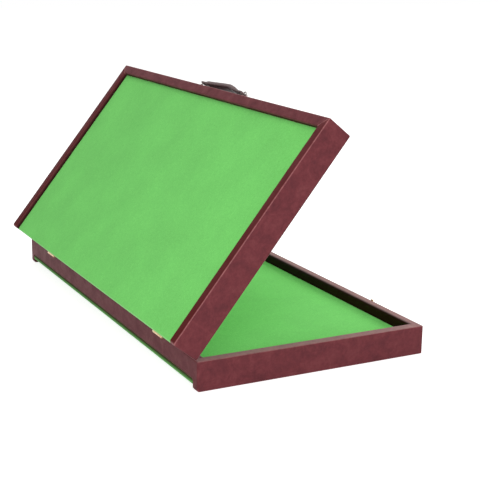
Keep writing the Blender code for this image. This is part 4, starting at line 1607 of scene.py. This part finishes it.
@dataclass
class Studio:
    """The camera, the lamps and a white floor and surround that keep the table's shadow faint.

    Places and sides are metres here, and the lens and sensor millimetres.
    """

    camera_place: Point = (-0.532492, -1.1374, 0.3939)
    camera_right: Point = (0.88619639, -0.4629929, 0.01713253)
    camera_down: Point = (-0.10335757, -0.23360878, -0.96682168)
    lens: float = 82.8
    sensor: float = 36.0
    floor_side: float = 12.0
    floor_shade: float = 0.75
    floor_glow: float = 3.15
    floor_tone: float = 0.8
    world_light: float = 0.4
    target: Point = (0.0, 0.0, 0.1)
    lamps: tuple[Lamp, ...] = (
        Lamp("left_softbox", (-1.15, -1.5, 0.65), 15.8, 0.9),
        Lamp("front_softbox", (0.3, -2.3, 0.45), 16.5, 1.4),
        Lamp("right_softbox", (1.7, 0.3, 1.1), 21.5, 1.2),
        Lamp("top_softbox", (-0.3, 0.2, 2.2), 12.5, 1.5),
    )

    def camera(self) -> None:
        """Set the camera where the photo was taken from."""
        right, down = Vector(self.camera_right), Vector(self.camera_down)
        ahead = right.cross(down)
        data = bpy.data.cameras.new("camera")
        data.lens = self.lens
        data.sensor_width = self.sensor
        camera = link_object("camera", data)
        turn = Matrix((right, -down, -ahead)).transposed().to_4x4()
        camera.matrix_world = Matrix.Translation(self.camera_place) @ turn
        bpy.context.scene.camera = camera

    def in_view(self, tree: NodeTree) -> NodeSocket:
        """Tell what is seen from what only lights.

        Args:
            tree: The material's or the world's tree.

        Returns:
            1 for what the camera sees straight, in a reflection or through glass, and 0 for light.
        """
        rays = add_node(tree, "ShaderNodeLightPath").outputs
        seen = add_node(tree, "ShaderNodeMath", {0: rays["Is Camera Ray"], 1: rays["Is Glossy Ray"]},
                        operation="ADD").outputs[0]
        return add_node(tree, "ShaderNodeMath", {0: seen, 1: rays["Is Transmission Ray"]},
                        operation="ADD", use_clamp=True).outputs[0]

    def floor(self) -> None:
        """Lay a white floor that shows only a share of its shading."""
        mesh = bmesh.new()
        bmesh.ops.create_grid(mesh, x_segments=4, y_segments=4, size=self.floor_side / 2)
        material = bpy.data.materials.new("white_paper_sweep")
        material.use_nodes = True
        tree = material.node_tree
        tree.nodes.clear()
        paper = add_node(tree, "ShaderNodeBsdfDiffuse", {"Color": (*[self.floor_tone] * 3, 1.0)}).outputs[0]
        white = add_node(tree, "ShaderNodeEmission", {"Strength": self.floor_glow}).outputs[0]
        share = add_node(tree, "ShaderNodeMath", {0: self.in_view(tree), 1: 1.0 - self.floor_shade},
                         operation="MULTIPLY").outputs[0]
        mixed = add_node(tree, "ShaderNodeMixShader", {0: share, 1: paper, 2: white}).outputs[0]
        add_node(tree, "ShaderNodeOutputMaterial", {"Surface": mixed})
        add_object("floor", mesh, material)

    def surround(self) -> None:
        """Make the world white to the camera and in reflections, and softer as a light."""
        world = bpy.data.worlds.new("studio_surround")
        bpy.context.scene.world = world
        world.use_nodes = True
        tree = world.node_tree
        strength = add_node(tree, "ShaderNodeMapRange", {
            0: self.in_view(tree), 3: self.world_light, 4: 1.0}).outputs[0]
        connect(tree, tree.nodes["Background"], {"Color": (1.0, 1.0, 1.0, 1.0), "Strength": strength})

    def build(self) -> None:
        """Set up the whole studio."""
        self.camera()
        self.floor()
        self.surround()
        for lamp in self.lamps:
            lamp.hang(Vector(self.target))
        bpy.context.scene.view_settings.view_transform = "Standard"


def log_pieces(group: str, pieces: Iterable[Object]) -> None:
    """Log each finished piece of a group."""
    for piece in pieces:
        LOG.info("%s: %s, %d faces", group, piece.name, len(piece.data.polygons))


def dress_frame(nodes: Mapping[str, Object], boards: Material) -> None:
    """Give the walls, boards and battens of the frame their procedural finish.

    Args:
        nodes: The frame's objects by name.
        boards: The finish.
    """
    for name, node in nodes.items():
        if name.endswith(("_wall", "_board", "_batten")):
            node.material_slots[0].material = boards
            LOG.info("frame: %s has %s", name, boards.name)


def corners(bounds: tuple[Vector, Vector]) -> list[list[float]]:
    """Turn a box's corners into plain lists."""
    return [list(corner) for corner in bounds]


def main() -> None:
    """Load the frame, dress it piece by piece and set up the studio."""
    logging.basicConfig(level=logging.INFO, format="%(message)s")
    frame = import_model()
    case = Case()
    leatherette = Leatherette("burgundy_embossed_leatherette").make()
    felt = Felt("green_pressed_felt").make()
    brass = PlatedMetal("bright_brass_plate").make()
    nickel_tones = ((0.3, "A9A2A0"), (0.55, "BDB7B4"), (0.8, "D0CBC8"))
    nickel = PlatedMetal("bright_nickel_plate", tones=nickel_tones).make()
    leather = StrapLeather("dark_finished_strap_leather").make()
    thread = WaxedThread("brown_waxed_thread").make()
    boards = Fibreboard("raw_pressed_fibreboard").make()
    bodies = frame["record"]["behaviour"]["bodies"]
    Studio().build()
    for half in Half:
        log_pieces("wraps", LeatherWraps(case, half, leatherette).build())
        log_pieces("felts", FeltLinings(case, half, felt).build())
    log_pieces("fittings", Fittings(case, bodies, frame["nodes"], brass, nickel).build())
    log_pieces("handle", CarryHandle(case, leather, nickel, thread).build())
    dress_frame(frame["nodes"], boards)
    bpy.context.view_layer.update()


if __name__ == "__main__":
    main()
